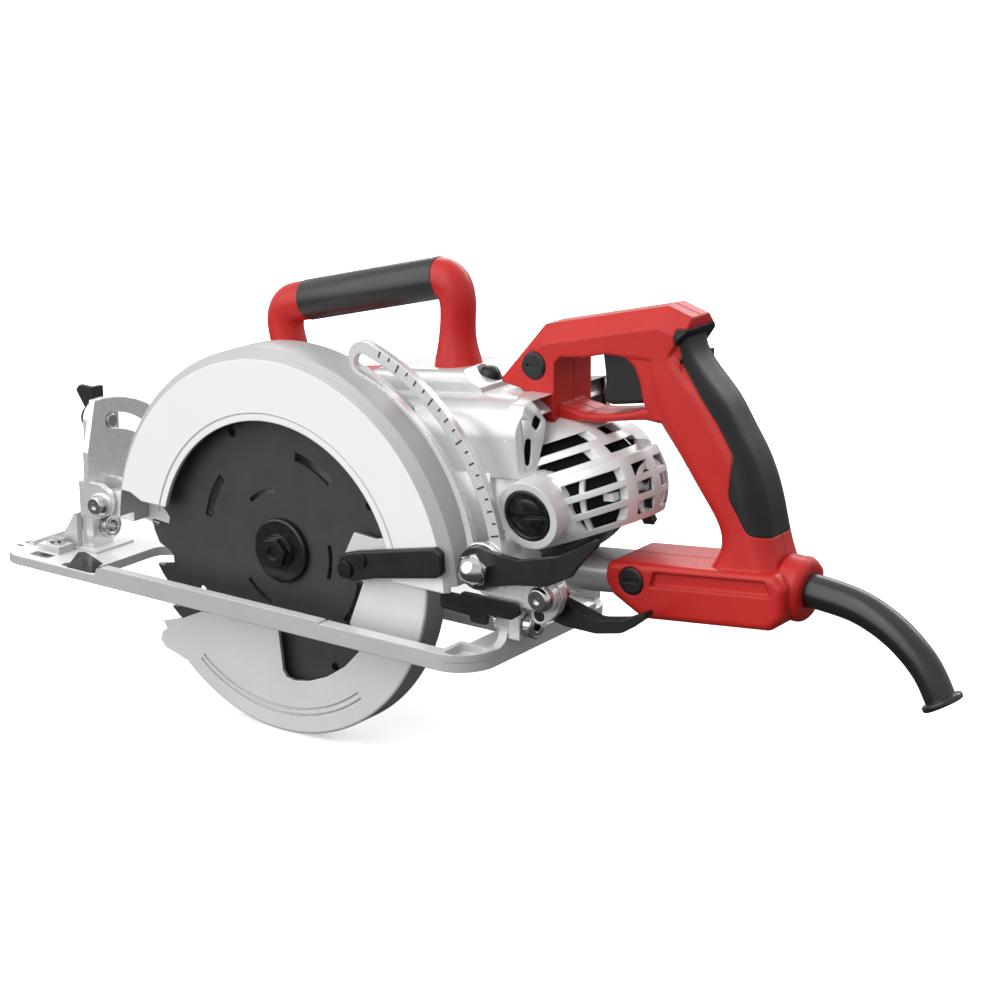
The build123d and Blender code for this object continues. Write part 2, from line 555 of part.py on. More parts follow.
dome = Pos(B[0], -12.2, B[1]) * Sphere(7.6)
dome = dome & bx(B[0] - 9, B[0] + 9, -24, -13.4, B[1] - 9, B[1] + 9)
nut = nut + dome
nut -= cy(B[0], B[1], -14.9, 0, 4.25)
add("depth_nut", nut)

# ==================================================================
# Spindle lock button on the pedestal
# ==================================================================
BTN = (107.6, 45.0)
lock = cz(BTN[0], BTN[1], 80.0, 90.0, 5.6)
lock = round_edges(lock, lock.edges().filter_by(GeomType.CIRCLE).sort_by(Axis.Z)[-1:], (5.0, 4.0, 3.0))
lock += cz(BTN[0], BTN[1], 76.5, 80.0, 3.0)
pocket = cz(BTN[0], BTN[1], 72.0, 95, 6.0)
pk = NODES["field_case"] - FRAME * pocket
NODES["field_case"] = max(pk.solids(), key=lambda s: s.volume)
add("spindle_lock", FRAME * lock)

# ==================================================================
# Front handle: red loop with a black sleeve
# ==================================================================
ga, gb = (-18.5, 152.5), (65.5, 173.5)
L = math.hypot(gb[0] - ga[0], gb[1] - ga[1])
ang = math.degrees(math.atan2(gb[1] - ga[1], gb[0] - ga[0]))
FH_Y = 45.0
fpl = Plane(origin=(0, FH_Y, 0), x_dir=(1, 0, 0), z_dir=(0, -1, 0))
fpath = fpl * FilletPolyline((-24.0, 97.0), (-29.2, 128.0), (-34.9, 148.4), (77.2, 176.4), (77.2, 143.0), (78.2, 118.0), radius=[40, 13, 11.5, 60])
hoop = sweep(Plane(origin=fpath @ 0, x_dir=(0, 1, 0), z_dir=fpath % 0) * Ellipse(9.6, 9.0), path=fpath)
flare = loft([Pos(x_, FH_Y, z_) * Ellipse(a_, b_) for x_, z_, a_, b_ in ((77.2, 152, 8.8, 9.4), (77.3, 142, 9.3, 9.8), (78.0, 134, 11.0, 11.2), (79.0, 124, 13.0, 12.4))])
base_bar = xz([(-14, 107), (-14, 114), (-8, 117), (66, 128.8), (66, 118), (50, 113.3)], FH_Y - 11, FH_Y + 11)
fh = hoop + flare + base_bar
fh += Pos(ga[0] - 5.6, FH_Y, ga[1] - 1.6) * Sphere(10.4) + Pos(gb[0] + 3.6, FH_Y, gb[1] + 0.6) * Sphere(10.4)
fh -= NODES["gear_case"]
fh -= NODES["field_case"]
fh = max(fh.solids(), key=lambda s: s.volume)
sleeve_len = 85.0
mid = ((ga[0] + gb[0]) / 2, (ga[1] + gb[1]) / 2)
sl = Pos(mid[0], FH_Y, mid[1]) * Rot(0, -ang, 0) * Rot(0, 90, 0)
fh -= sl * (Cylinder(30.0, sleeve_len) - Cylinder(8.0, sleeve_len + 2))
fh = max(fh.solids(), key=lambda s: s.volume)
sleeve = Cylinder(10.5, sleeve_len)
sleeve = round_edges(sleeve, sleeve.edges().filter_by(GeomType.CIRCLE), (0.9, 0.6))
sleeve -= Cylinder(8.0, sleeve_len + 2)
add("front_handle", fh)
add("front_grip", sl * sleeve)

# ==================================================================
# Handle arm
# ==================================================================
def arm_bar(u0, u1, hy, hz):
    # flat oval bar under the motor
    return FRAME * (Pos((u0 + u1) / 2, MOTOR_Y, -12.0) * Rot(0, 90, 0) * extrude(RectangleRounded(2 * hz, 2 * hy, hz - 1.0), (u1 - u0) / 2, both=True))


arm = arm_bar(92, 186, 16.0, 8.6) + arm_bar(92, 150, 15.0, 11.0)
arm -= FRAME * mx(40, 128.5, 43.0)
arm -= FRAME * (Pos(0, MOTOR_Y, MW) * bell(EBS))
arm -= NODES["field_case"]
arm = max(arm.solids(), key=lambda s: s.volume)
add("handle_arm", arm)

# ==================================================================
# Rear handle: two red shells, rubber back, trigger, switch, boot
# ==================================================================
HY = MOTOR_Y
HW = 16.0                 # half width of the upper handle
BW = 21.0                 # half width of the handle base


def pick(shape, segs, ys):
    # edges of a prism that run along the given outline segments on the given side faces
    out = []
    for e in shape.edges():
        c = e.center()
        for (a, b) in segs:
            mx_, mz_ = (a[0] + b[0]) / 2, (a[1] + b[1]) / 2
            if abs(c.X - mx_) < 0.05 and abs(c.Z - mz_) < 0.05 and any(abs(c.Y - y_) < 0.05 for y_ in ys):
                out.append(e)
    return out


# nose and top bar with broad chamfers along the back
bar_pts = [(108.7, 129.1), (131.5, 158.5), (199.9, 175.5), (213.6, 171.4), (213.2, 165.0), (204.0, 150.8), (171.0, 150.2), (159.0, 147.0), (145.5, 145.6), (142.2, 142.0), (142.2, 113.0), (138.6, 112.2), (129.2, 121.9), (122.4, 127.2)]
top_bar = xz(bar_pts, HY - HW, HY + HW)
top_bar = chamfer(pick(top_bar, [(bar_pts[1], bar_pts[2]), (bar_pts[2], bar_pts[3])], (HY - HW, HY + HW)), 8.6)
slant = xz([(90, 105.0), (108.7, 129.1), (131.5, 158.5), (140, 170), (90, 170)], -1, 1)
for s_ in (-1, 1):
    # facet along the front slant, narrow at the tip and as wide as the top facet at the brow
    facet = loft([Pos(x_, HY + s_ * HW, z_) * Rot(0, 37.8, 0) * Pos(0, 0, 0) * make_face(Polyline((-d_, 0.0), (d_, 0.0), (0.0, -s_ * d_), close=True)) for x_, z_, d_ in ((106.9, 126.8, 2.4), (132.0, 159.2, 8.0))])
    top_bar -= facet
# grip: rounded sections from the top bar down into the base
GRIP = [(165.5, 192.0, 210.4, 15.0, 8.0), (156.5, 189.5, 212.4, 15.6, 9.5), (150.0, 188.5, 216.4, 16.0, 10.5), (134.3, 191.5, 231.2, 16.2, 11.0), (122.3, 196.5, 239.4, 16.2, 11.0),
        (111.7, 204.6, 246.4, 16.2, 11.0), (88.7, 221.8, 256.2, 16.2, 11.0), (73.0, 232.0, 259.8, 16.4, 10.5), (62.0, 232.0, 263.0, 16.8, 10.0), (52.0, 228.0, 269.0, 17.4, 9.5)]
grip = loft([Pos((xf + xr) / 2, HY, z_) * RectangleRounded(xr - xf, 2 * b_, r_) for z_, xf, xr, b_, r_ in GRIP])
# bar under the trigger finger
bow = xz([(140.0, 112.8), (150.0, 113.4), (163.7, 114.6), (176.3, 117.2), (190.0, 119.6), (201.0, 119.0), (204.0, 126.6), (191.0, 125.8), (179.0, 121.6), (166.0, 119.4), (155.7, 118.2), (141.0, 120.5)],
         HY - 11.0, HY + 11.0, r=[1, 6, 12, 12, 6, 1, 1, 6, 10, 12, 8, 1])
bow = round_edges(bow, bow.faces().filter_by(Axis.Y).edges(), (1.8, 1.2, 0.8))
# base with the socket of the cord boot
base_pts = [(176.0, 49.8), (174.6, 40.5), (179.0, 33.6), (196.5, 24.4), (266.0, 31.9), (272.0, 38.0), (273.0, 54.0), (267.0, 59.2)]
h_base = xz(base_pts, HY - BW, HY + BW, r=[4, 8, 8, 6, 6, 5, 5, 4])
h_base = round_edges(h_base, h_base.faces().filter_by(Axis.Y).edges(), (3.6, 3.0, 2.0))
for s_ in (-1, 1):
    h_base -= xz([(201, 42.0), (203, 49.4), (263, 55.8), (266, 49.0)], *sorted((HY + s_ * (BW - 1.8), HY + s_ * (BW + 3))))
knob = Pos(270.0, HY, 48.7) * Rot(0, 93, 0) * Cylinder(15.5, 12.0)
knob = round_edges(knob, knob.edges().filter_by(GeomType.CIRCLE).sort_by(Axis.X)[-1:], (4.0, 3.0, 2.0))
cheek = [(172.0, 152.0), (175.6, 150.6), (182.0, 149.6), (187.0, 146.4), (190.4, 139.0), (192.4, 129.5), (197.5, 121.5), (214.0, 122.0), (212.0, 153.0)]
cheeks = xz(cheek, HY - 15.4, HY - 8.7) + xz(cheek, HY + 8.7, HY + 15.4)
handle = top_bar + grip + cheeks + bow + h_base + knob
handle -= NODES["field_case"]
handle -= FRAME * (Pos(0, MOTOR_Y, MW) * eb_out)
handle -= NODES["end_bell"]
handle = max(handle.solids(), key=lambda s: s.volume)
# inner hollow of the two shells
inner = [(148, 153.5), (148, 156.0), (199, 168.4), (203.5, 166), (203.5, 158), (208.5, 150), (223, 131.5), (237.5, 110), (247.0, 88), (250.0, 73), (251.0, 49.5),
         (241.5, 48.5), (241.0, 72.5), (231.0, 89), (213.5, 112.5), (205.0, 123), (202.0, 133), (197.5, 146), (186, 158.5), (166, 155.8)]
hollow = xz(inner, HY - 10.0, HY + 10.0)
base_hollow = xz([(201, 30.6), (201, 46.0), (240, 50.2), (260, 52.4), (261, 41), (257, 35.4)], HY - 12.5, HY + 12.5)
hollow = hollow + base_hollow
arm_socket = arm_bar(92, 186.2, 16.0, 8.6)
# rubber back of the grip
rub = [(208.6, 190), (208.6, 161.0), (212.0, 150.6), (231.6, 125.9), (241.4, 110.9), (239.8, 91.2), (250.6, 75.1), (260.0, 73.4), (300, 73.4), (300, 190)]
rub_prism = xz(rub, HY - 40, HY + 40, r=[1, 8, 12, 12, 8, 8, 6, 1, 1, 1]) - bx(200, 300, HY - 40, HY + 40, 166.4, 200)
rubber = (handle & rub_prism) - hollow
rubber = max(rubber.solids(), key=lambda s: s.volume)
add("rubber_grip", rubber)
shell = handle - rub_prism - hollow
shell -= arm_socket
# slot for the trigger and its swing
shell -= xz([(158, 121.8), (192, 122.6), (199.5, 130), (198.2, 146), (193.6, 158), (188, 163.0), (170.5, 160.5), (158, 153)], HY - 8.6, HY + 8.6)
# cord exit
shell -= Pos(262, HY, 49.4) * Rot(0, 93, 0) * Cylinder(8.0, 10)
# plug holes
PLUG1, PLUG2 = (130.0, 139.1), (190.6, 42.6)
PLUG1_Y, PLUG2_Y = HY - HW, HY - BW
for (px_, pz_), py_ in ((PLUG1, PLUG1_Y), (PLUG2, PLUG2_Y)):
    shell -= cy(px_, pz_, py_ - 10, py_ + 4.4, 7.0)
    shell -= cy(px_, pz_, py_ - 10, HY + 10.0, 2.6)
TP = (181.0, 156.6)
shell -= cy(TP[0], TP[1], HY - 12.0, HY + 12.0, 2.0)
left = shell & bx(80, 320, HY - 60, HY, -20, 220)
right = shell & bx(80, 320, HY, HY + 60, -20, 220)
left = max(left.solids(), key=lambda s: s.volume)
right = max(right.solids(), key=lambda s: s.volume)
add("rear_handle_left", left)
add("rear_handle_right", right)
plugs = [cy(PLUG1[0], PLUG1[1], PLUG1_Y - 0.6, PLUG1_Y + 4.4, 6.9), cy(PLUG2[0], PLUG2[1], PLUG2_Y - 0.6, PLUG2_Y + 4.4, 6.9)]
plugs = [round_edges(p, p.edges().filter_by(GeomType.CIRCLE).sort_by(Axis.Y)[:1], (1.4, 0.8)) for p in plugs]
for i_, ((px_, pz_), py_) in enumerate(((PLUG1, PLUG1_Y), (PLUG2, PLUG2_Y))):
    plugs[i_] -= bx(px_ - 4, px_ + 4, py_ - 2, py_ + 0.4, pz_ - 0.8, pz_ + 0.8)
add("handle_plugs", Compound(children=[p.solids()[0] for p in plugs]))
screws = [cy(PLUG1[0], PLUG1[1], PLUG1_Y + 5.0, HY + 9.0, 2.5), cy(PLUG2[0], PLUG2[1], PLUG2_Y + 5.0, HY + 9.0, 2.5)]
for k in range(4):
    t = math.radians(45 + 90 * k)
    x_, z_ = 18.6 * math.cos(t), ARBOR_Z + 18.6 * math.sin(t)
    NODES["gear_case"] = (NODES["gear_case"] - cy(x_, z_, 60, 80, 2.0))
    screws.append(cy(x_, z_, 66.0, 84.0, 2.0) + cy(x_, z_, 84.0, 86.4, 3.6))
add("case_screws", Compound(children=[s.solids()[0] for s in screws]))
add("gear_case", NODES["gear_case"])

# trigger
trig = xz([(163.6, 150.5), (166.0, 134.4), (164.2, 124.6), (169.8, 123.6), (187.6, 126.8), (191.0, 133.0), (189.2, 148.0), (185.6, 159.6), (175.4, 159.2)],
          HY - 7.8, HY + 7.8, r=[3, 14, 2, 3, 3, 6, 8, 3, 3])
trig = round_edges(trig, trig.edges().filter_by_position(Axis.X, 160, 170), (2.0, 1.0))
trig -= cy(TP[0], TP[1], HY - 20, HY + 20, 2.05)
add("trigger", trig)
tpin = cy(TP[0], TP[1], HY - 12.0, HY + 12.0, 2.0)
add("trigger_pin", tpin)
sw = bx(203, 222, HY - 9, HY + 9, 126, 144) + bx(199.8, 203, HY - 4, HY + 4, 136.4, 141)
sw = sw & xz(inner, HY - 9.9, HY + 9.9)
add("switch_block", max(sw.solids(), key=lambda s: s.volume))

# strain relief boot: hollow rubber sleeve that bends down to a flared end
path_pts = [(262.0, 49.4), (278.0, 49.0), (303.0, 46.3), (322.3, 36.4), (335.9, 24.4), (345.8, 7.4)]
pl = Plane(origin=(0, HY, 0), x_dir=(1, 0, 0), z_dir=(0, -1, 0))
path = pl * FilletPolyline(*path_pts, radius=[60, 60, 60, 50])


def sweep_round(r):
    start = path @ 0
    d = path % 0
    return sweep(Plane(origin=start, z_dir=d) * Circle(r), path=path)


steps = [i / 10 for i in range(11)]
boot = loft([Plane(origin=path @ t_, x_dir=(0, 1, 0), z_dir=path % t_) * Circle(8.3 - 1.1 * t_) for t_ in steps])
end, dend = path @ 1, path % 1
flare_pl = Plane(origin=end, x_dir=(0, 1, 0), z_dir=dend)
rim = Location(flare_pl) * Pos(0, 0, -1.7) * Cylinder(9.9, 3.2)
rim = round_edges(rim, rim.edges().filter_by(GeomType.CIRCLE), (1.2, 0.8))
boot = boot + rim
collar = Pos(266.0, HY, 49.2) * Rot(0, 93, 0) * Cylinder(11.5, 5.0)
boot = boot + collar
bore = sweep_round(4.6)
bore = bore + (Location(flare_pl) * Pos(0, 0, 0) * Cylinder(4.6, 12.0))
boot = boot - bore
boot = max(boot.solids(), key=lambda s: s.volume)
for n in ("rear_handle_left", "rear_handle_right"):
    s_ = NODES[n] - boot
    NODES[n] = max(s_.solids(), key=lambda s: s.volume)
add("cord_boot", boot)
clamp = bx(248, 257, HY - 12.3, HY + 12.3, 43.0, 47.0)
add("cord_clamp", clamp)

# guard return spring around the nose and its rubber bumper
gs = tube_y(0, ARBOR_Z, 13.3, 14.3, 31.5, 29.5) - bx(-3, 3, 12, 15, ARBOR_Z + 20, ARBOR_Z + 40)
add("guard_spring", gs)

# ==================================================================
# Foot
# ==================================================================
fp = xy([(FOOT_X0, FOOT_Y0), (FOOT_X1, FOOT_Y0), (FOOT_X1, FOOT_Y1), (FOOT_X0, FOOT_Y1)], 0, PLATE_T, r=[16, 20, 14, 14])
# raised rail on the blade side: full height in front, a broad lower land behind
fp += xz([(-109.0, PLATE_T), (46, PLATE_T), (46, RAIL_H), (-104.0, RAIL_H), (-107.6, RAIL_H - 1.6)], FOOT_Y0, -23.5)
fp += xy([(46, FOOT_Y0), (119.5, FOOT_Y0), (119.5, -21.6), (46, -21.6)], PLATE_T, RAIL_H - 1.2)
# pocket with a raised rim in the rear left corner
ring = xy([(118.0, FOOT_Y0), (FOOT_X1, FOOT_Y0), (FOOT_X1, -8.0), (118.0, -8.0)], PLATE_T, RAIL_H - 1.2, r=[1, 19.5, 1, 1.5])
ring -= xy([(121.5, FOOT_Y0 + 2.6), (FOOT_X1 - 2.8, FOOT_Y0 + 2.6), (FOOT_X1 - 2.8, -10.2), (120.5, -10.2)], PLATE_T, RAIL_H, r=[2, 11, 2, 2])
fp += ring
fp -= xy([(-117, -20.5), (117, -20.5), (117, 33), (-117, 33)], -1, PLATE_T + 1, r=[3, 3, 10, 10])
fp += bx(FOOT_X0 + 8, FOOT_X1 - 8, FOOT_Y1 - 5, FOOT_Y1, PLATE_T, PLATE_T + 5)
fp += bx(-112, 117, 36, 39, PLATE_T, PLATE_T + 1.8)
fp += bx(-178, -174, -10, FOOT_Y1 - 10, PLATE_T, PLATE_T + 2.5)
# front gusset and the pads of the upright
fp += xz([(-164.5, PLATE_T), (-149.0, PLATE_T), (-149.0, 25.5), (-151.0, 25.5)], -0.8, 3.0)
fp += bx(-160, -134, -2, 27, PLATE_T, PLATE_T + 1.2)
# fence clamp block on the front edge
fence = bx(-166, -150, -14.5, -3.0, PLATE_T, PLATE_T + 4)
fp += fence
fp -= bx(-164.0, -152.0, -40, 130, 1.4, 4.6)
fp += bx(-167, -149.0, -29, -24, 0, PLATE_T)
# window over the fence slot and the cut-out in front of the rail
fp -= bx(-165.0, -151.0, -22.5, -16.0, 2.0, PLATE_T + 1)
fp -= xy([(-137, -26.6), (-110.5, -26.6), (-110.5, -20.4), (-137, -20.4)], -1, PLATE_T + 1, r=2)
# rear wall that climbs to the lug of the bevel axis
lug = yz([(-12, PLATE_T), (-12, 8.2), (-3.6, 8.4), (0.2, 10.4), (3.4, 17.0), (5.6, 24.2), (8.4, 27.0), (13, 27.2), (18.2, 23), (19.8, 14), (28, 9.2), (60, 8.2), (80, 8.2), (80, PLATE_T)], 134.0, FOOT_X1, r=[1, 1, 6, 5, 8, 3, 4, 4, 6, 8, 10, 20, 1, 1])
lug += cx(BEV_Y, BEV_Z, 131.5, FOOT_X1, 7.4)
lug += bx(131.5, FOOT_X1, 4.0, 16.0, PLATE_T, BEV_Z)
fp += lug
fp -= cx(BEV_Y, BEV_Z, 120, 145, 5.0)
fp -= cz(-158, -8.8, 4.7, 20, 2.5)
add("foot_plate", fp)
fscrew = cz(-158, -8.8, 4.7, 9.0, 2.5) + cz(-158, -8.8, 9.0, 12.0, 5.0)
fscrew -= bx(-164, -152, -9.5, -8.1, 10.8, 14)
add("fence_screw", fscrew)

UPX0, UPX1 = -148.6, -141.4
BB = (BEV_Y + QUAD_R * math.sin(math.radians(BOLT_A)), BEV_Z + QUAD_R * math.cos(math.radians(BOLT_A)))   # bevel bolt (y, z)
up = yz([(3.0, PLATE_T + 1.2), (18.5, PLATE_T + 1.2), (19.0, 27.0), (BB[0] + 10.1, 52.0), (BB[0] + 10.1, BB[1]), (BB[0] - 10.1, BB[1]), (BB[0] - 10.1, 50.0), (3.0, 34.0)], UPX0, UPX1, r=[1, 1, 8, 8, 0.5, 0.5, 8, 8])
up += cx(BB[0], BB[1], UPX0, UPX1, 10.1)
up -= cx(BEV_Y, BEV_Z, -160, -130, 5.0)
up -= cx(BB[0], BB[1], -160, -130, 4.0)
NODES["foot_plate"] = (NODES["foot_plate"] - up).solids()[0]
add("front_upright", up)

# hollow pivot rivets of the bevel axis
rf = cx(BEV_Y, BEV_Z, UPX0, -135.2, 5.0) + cx(BEV_Y, BEV_Z, UPX0 - 2.2, UPX0, 6.6) + cx(BEV_Y, BEV_Z, -135.2, -132.8, 7.0)
rf -= cx(BEV_Y, BEV_Z, -160, -120, 3.2)
rr = cx(BEV_Y, BEV_Z, 131.5, 147.0, 5.0) + cx(BEV_Y, BEV_Z, 129.5, 131.5, 7.2) + cx(BEV_Y, BEV_Z, 147.0, 151.0, 7.4)
rr -= cx(BEV_Y, BEV_Z, 120, 160, 3.4)
add("bevel_rivets", Compound(children=[rf.solids()[0], rr.solids()[0]]))

# bevel bracket: quadrant plate, clevis plates and pivot block
QX0, QX1 = -140.9, -137.0
c0 = (BEV_Y, BEV_Z)


def qp(r, a):      # angle from +Z towards +Y
    return (c0[0] + r * math.sin(math.radians(a)), c0[1] + r * math.cos(math.radians(a)))


quad_pts = [qp(71, a) for a in (-4, 2, 8, 15, 22, 29, 36, 43, 50, 57, 66)] + [qp(47, 66), (46, 36.0), (20, 36.0), (-1.8, 36.0), (-1.8, 62)]
quad = yz(quad_pts, QX0, QX1)


def ring_sector_x(ri, ro, a0, a1, x0, x1):
    am = (a0 + a1) / 2
    w = [ThreePointArc(qp(ro, a0), qp(ro, am), qp(ro, a1)), Line(qp(ro, a1), qp(ri, a1)),
         ThreePointArc(qp(ri, a1), qp(ri, am), qp(ri, a0)), Line(qp(ri, a0), qp(ro, a0))]
    pl_ = Plane(origin=(x0, 0, 0), x_dir=(0, 1, 0), z_dir=(1, 0, 0))
    return extrude(pl_ * make_face(w), x1 - x0, dir=(1, 0, 0))


bolt_slot = ring_sector_x(QUAD_R - 4.4, QUAD_R + 4.4, BOLT_A, BOLT_A + BEVEL_MAX + 1, QX0 - 2, QX1 + 2)
bolt_slot += cx(BB[0], BB[1], QX0 - 2, QX1 + 2, 4.4)
bolt_slot += cx(qp(QUAD_R, BOLT_A + BEVEL_MAX + 1)[0], qp(QUAD_R, BOLT_A + BEVEL_MAX + 1)[1], QX0 - 2, QX1 + 2, 4.4)
quad -= bolt_slot
clev_l = xz([(-145.0, 26.4), (-131, 25.6), (-122.4, 29.6), (-120.8, 36.0), (-122.6, 42.6), (-130.0, 45.6), (-145.0, 45.6)], -1.8, 1.2, r=[1, 6, 5, 5, 5, 6, 1])
clev_r = xz([(-140.9, 14.6), (-135.6, 14.6), (-135.6, 27.2), (-125.0, 28.6), (-121.4, 34), (-122.6, 42.6), (-130.0, 45.6), (-140.9, 45.6)], 13.2, 16.2, r=[1, 2, 2, 4, 4, 4, 5, 1])
block = bx(-140.9, -135.6, -1.8, 16.2, 14.6, 37.0)
block += cx(BEV_Y, BEV_Z, -140.9, -135.6, 7.6)
brk = quad + clev_l + clev_r + block
brk -= cy(Q[0], Q[1], 1.2, 13.2, 7.3)
brk -= cx(BEV_Y, BEV_Z, -160, -120, 5.06)
brk -= cy(Q[0], Q[1], -10, 30, 4.0)
add("bevel_bracket", brk)
qbolt = cy(Q[0], Q[1], -1.8, 18.5, 4.0)
dome = Pos(Q[0], -1.8, Q[1]) * Sphere(6.4) & bx(Q[0] - 10, Q[0] + 10, -12, -1.8, Q[1] - 10, Q[1] + 10)
dome = dome & bx(Q[0] - 10, Q[0] + 10, -6.4, -1.8, Q[1] - 10, Q[1] + 10)
qbolt = qbolt + dome + hexprism_y(Q[0], Q[1], 16.2, 20.6, 12.0)
qbolt = qbolt - cy(Q[0], Q[1], -8, -5.2, 1.8)
add("depth_pivot_bolt", qbolt)

bb = cx(BB[0], BB[1], -155.4, -136.0, 4.0)
bb = round_edges(bb, bb.edges().filter_by(GeomType.CIRCLE).sort_by(Axis.X)[-1:], (1.0, 0.6))
add("bevel_bolt", bb)
# bent sheet lever: a strip on the bolt that folds forward into a thumb tab
bl = cx(BB[0], BB[1], -151.8, -149.2, 7.6) + cx(BB[0], BB[1], -154.6, -151.8, 5.6)
bl += yz([(BB[0] - 7.0, BB[1] + 2), (15.4, 86.0), (15.4, 93.4), (24.0, 93.0), (BB[0] + 7.2, BB[1] + 2)], -151.8, -149.2)
bl += xz([(-161.4, 90.4), (-158.8, 93.6), (-149.2, 93.4), (-149.2, 82.0), (-151.8, 76.0), (-153.4, 78.8)], 15.4, 17.9, r=[1, 1, 1, 1, 0.5, 3])
bl -= cx(BB[0], BB[1], -170, -140, 4.05)
add("bevel_lever", bl)

# rear bracket, black plate and pin of the depth link
rb = xz([(139.7, 22.5), (146.8, 22.5), (149.4, 27.6), (152.4, 29.4), (154.0, 23.6), (158, 22.4), (163.0, 24.4), (168.5, 30), (171.4, 38), (168.5, 44.6), (162, 46.4), (155, 43.5), (147.5, 34), (139.7, 30)], 1.1, 5.6, r=[1, 2, 2, 1, 2, 3, 3, 4, 4, 4, 4, 5, 6, 1])
rb -= cx(BEV_Y, BEV_Z, 146.4, 152.6, 8.2)
rb += bx(139.7, 146.4, 1.4, 18.0, 11.6, 26.0) + cx(BEV_Y, BEV_Z, 139.7, 146.4, 7.2)
rb += bx(139.7, 146.4, -4.7, 1.4, 25.0, 30.0)
rb -= cx(BEV_Y, BEV_Z, 120, 160, 5.06)
rb -= cy(P[0], P[1], -10, 30, 4.0)
rb -= cy(STOP[0], STOP[1], -10, 30, 3.05)
rb = max(rb.solids(), key=lambda s: s.volume)
add("rear_bracket", rb)
rp = xz([(105.0, 23.0), (122.4, 22.4), (123.2, 19.3), (132.6, 19.3), (133.2, 24.9), (147.0, 24.9), (152.0, 28.0), (150.0, 34.0), (118.0, 33.4), (116.6, 31.4), (105.0, 31.4)], -6.9, -4.7, r=[2, 0.5, 1, 1, 1, 2, 2, 3, 1, 1, 2])
add("rear_plate", rp)
lb = cy(P[0], P[1], -4.2, 7.6, 4.0)
dome = Pos(P[0], -4.2, P[1]) * Sphere(6.6) & bx(P[0] - 10, P[0] + 10, -8.6, -4.2, P[1] - 10, P[1] + 10)
lb = lb + dome + hexprism_y(P[0], P[1], 5.6, 10.0, 12.0)
lb = lb - cy(P[0], P[1], -12, -7.4, 1.8)
add("link_bolt", lb)

# depth link: slotted curved strap with the depth scale
A_END = 72.2


def sp(r, a):
    return (SLOT_C[0] + r * math.cos(math.radians(a)), SLOT_C[1] + r * math.sin(math.radians(a)))


link = sector(SLOT_C, SLOT_R - 14.0, SLOT_R + 11.6, 0.5, A_END, LINK_Y0, LINK_Y1)
end_c = sp(SLOT_R + 2.2, A_END)
link += cy(end_c[0], end_c[1], LINK_Y0, LINK_Y1, 9.3)
link -= cy(SLOT_C[0] + 3.58 * math.cos(math.radians(72)), SLOT_C[1] + 3.58 * math.sin(math.radians(72)), -20, 20, 96.45)
link += xz([(118.8, 38.2), (128, 33.6), (150, 31.2), (163, 31.0), (170, 38.2), (163, 45.4), (152, 46.2), (140.6, 51.5), (119.6, 51.5)], LINK_Y0, LINK_Y1, r=[2, 5, 8, 1, 1, 1, 8, 2, 1])
link += cy(P[0], P[1], LINK_Y0, LINK_Y1, 7.4)
slot = sector(SLOT_C, SLOT_R - 5.0, SLOT_R + 5.0, 6.0, A_END, -8, 6)
for a in (6.0, A_END):
    slot += cy(sp(SLOT_R, a)[0], sp(SLOT_R, a)[1], -8, 6, 5.0)
link -= slot
link -= cy(P[0], P[1], -8, 8, 4.06)
add("depth_link", link)

# bevel stop lever behind the foot
sl_ = xz([(152.4, 24.0), (153.0, 31.5), (159, 33.6), (170, 31.0), (184, 27.0), (199, 30.0), (210.0, 35.8), (211.2, 33.4), (199, 23.6), (184, 20.4), (166, 20.6), (157, 22.4)],
         11.0, 19.0, r=[2, 3, 4, 8, 12, 12, 1, 1, 12, 12, 8, 4])
sl_ += cy(STOP[0], STOP[1], 1.1, 12.0, 3.0)
add("bevel_stop_lever", sl_)

# ==================================================================
for name, shape in NODES.items():
    export_step(shape, "parts/%s.step" % name)
print(len(NODES), "nodes")
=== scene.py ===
import bpy
import bmesh
import json
import math
from mathutils import Vector, Matrix


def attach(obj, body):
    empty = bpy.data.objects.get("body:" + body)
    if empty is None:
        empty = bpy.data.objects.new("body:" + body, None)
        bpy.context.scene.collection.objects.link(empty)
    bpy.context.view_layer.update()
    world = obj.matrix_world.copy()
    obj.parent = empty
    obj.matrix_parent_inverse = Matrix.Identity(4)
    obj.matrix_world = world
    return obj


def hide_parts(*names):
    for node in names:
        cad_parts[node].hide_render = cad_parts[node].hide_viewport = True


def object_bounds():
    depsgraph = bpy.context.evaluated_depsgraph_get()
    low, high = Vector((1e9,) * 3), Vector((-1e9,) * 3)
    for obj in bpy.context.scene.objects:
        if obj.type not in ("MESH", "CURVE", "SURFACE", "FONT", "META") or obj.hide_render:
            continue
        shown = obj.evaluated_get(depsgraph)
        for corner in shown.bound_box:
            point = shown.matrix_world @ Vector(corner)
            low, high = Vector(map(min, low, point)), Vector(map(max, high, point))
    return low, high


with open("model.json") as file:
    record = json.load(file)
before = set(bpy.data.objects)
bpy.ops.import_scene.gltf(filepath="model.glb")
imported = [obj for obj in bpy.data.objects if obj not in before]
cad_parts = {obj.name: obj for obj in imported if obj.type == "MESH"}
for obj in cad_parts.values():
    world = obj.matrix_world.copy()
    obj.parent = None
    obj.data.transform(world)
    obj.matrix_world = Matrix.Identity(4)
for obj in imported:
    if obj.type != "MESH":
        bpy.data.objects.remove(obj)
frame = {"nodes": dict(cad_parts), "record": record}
CAD_BOX = [list(v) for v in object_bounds()]
N = frame["nodes"]
MM = 0.001

# ------------------------------------------------------------------
# materials
# ------------------------------------------------------------------


def ramp(nt, fac, stops):
    r = nt.nodes.new("ShaderNodeValToRGB")
    el = r.color_ramp.elements
    while len(el) > 1:
        el.remove(el[-1])
    el[0].position, el[0].color = stops[0][0], stops[0][1]
    for p, c in stops[1:]:
        e = el.new(p)
        e.color = c
    nt.links.new(fac, r.inputs[0])
    return r.outputs[0]


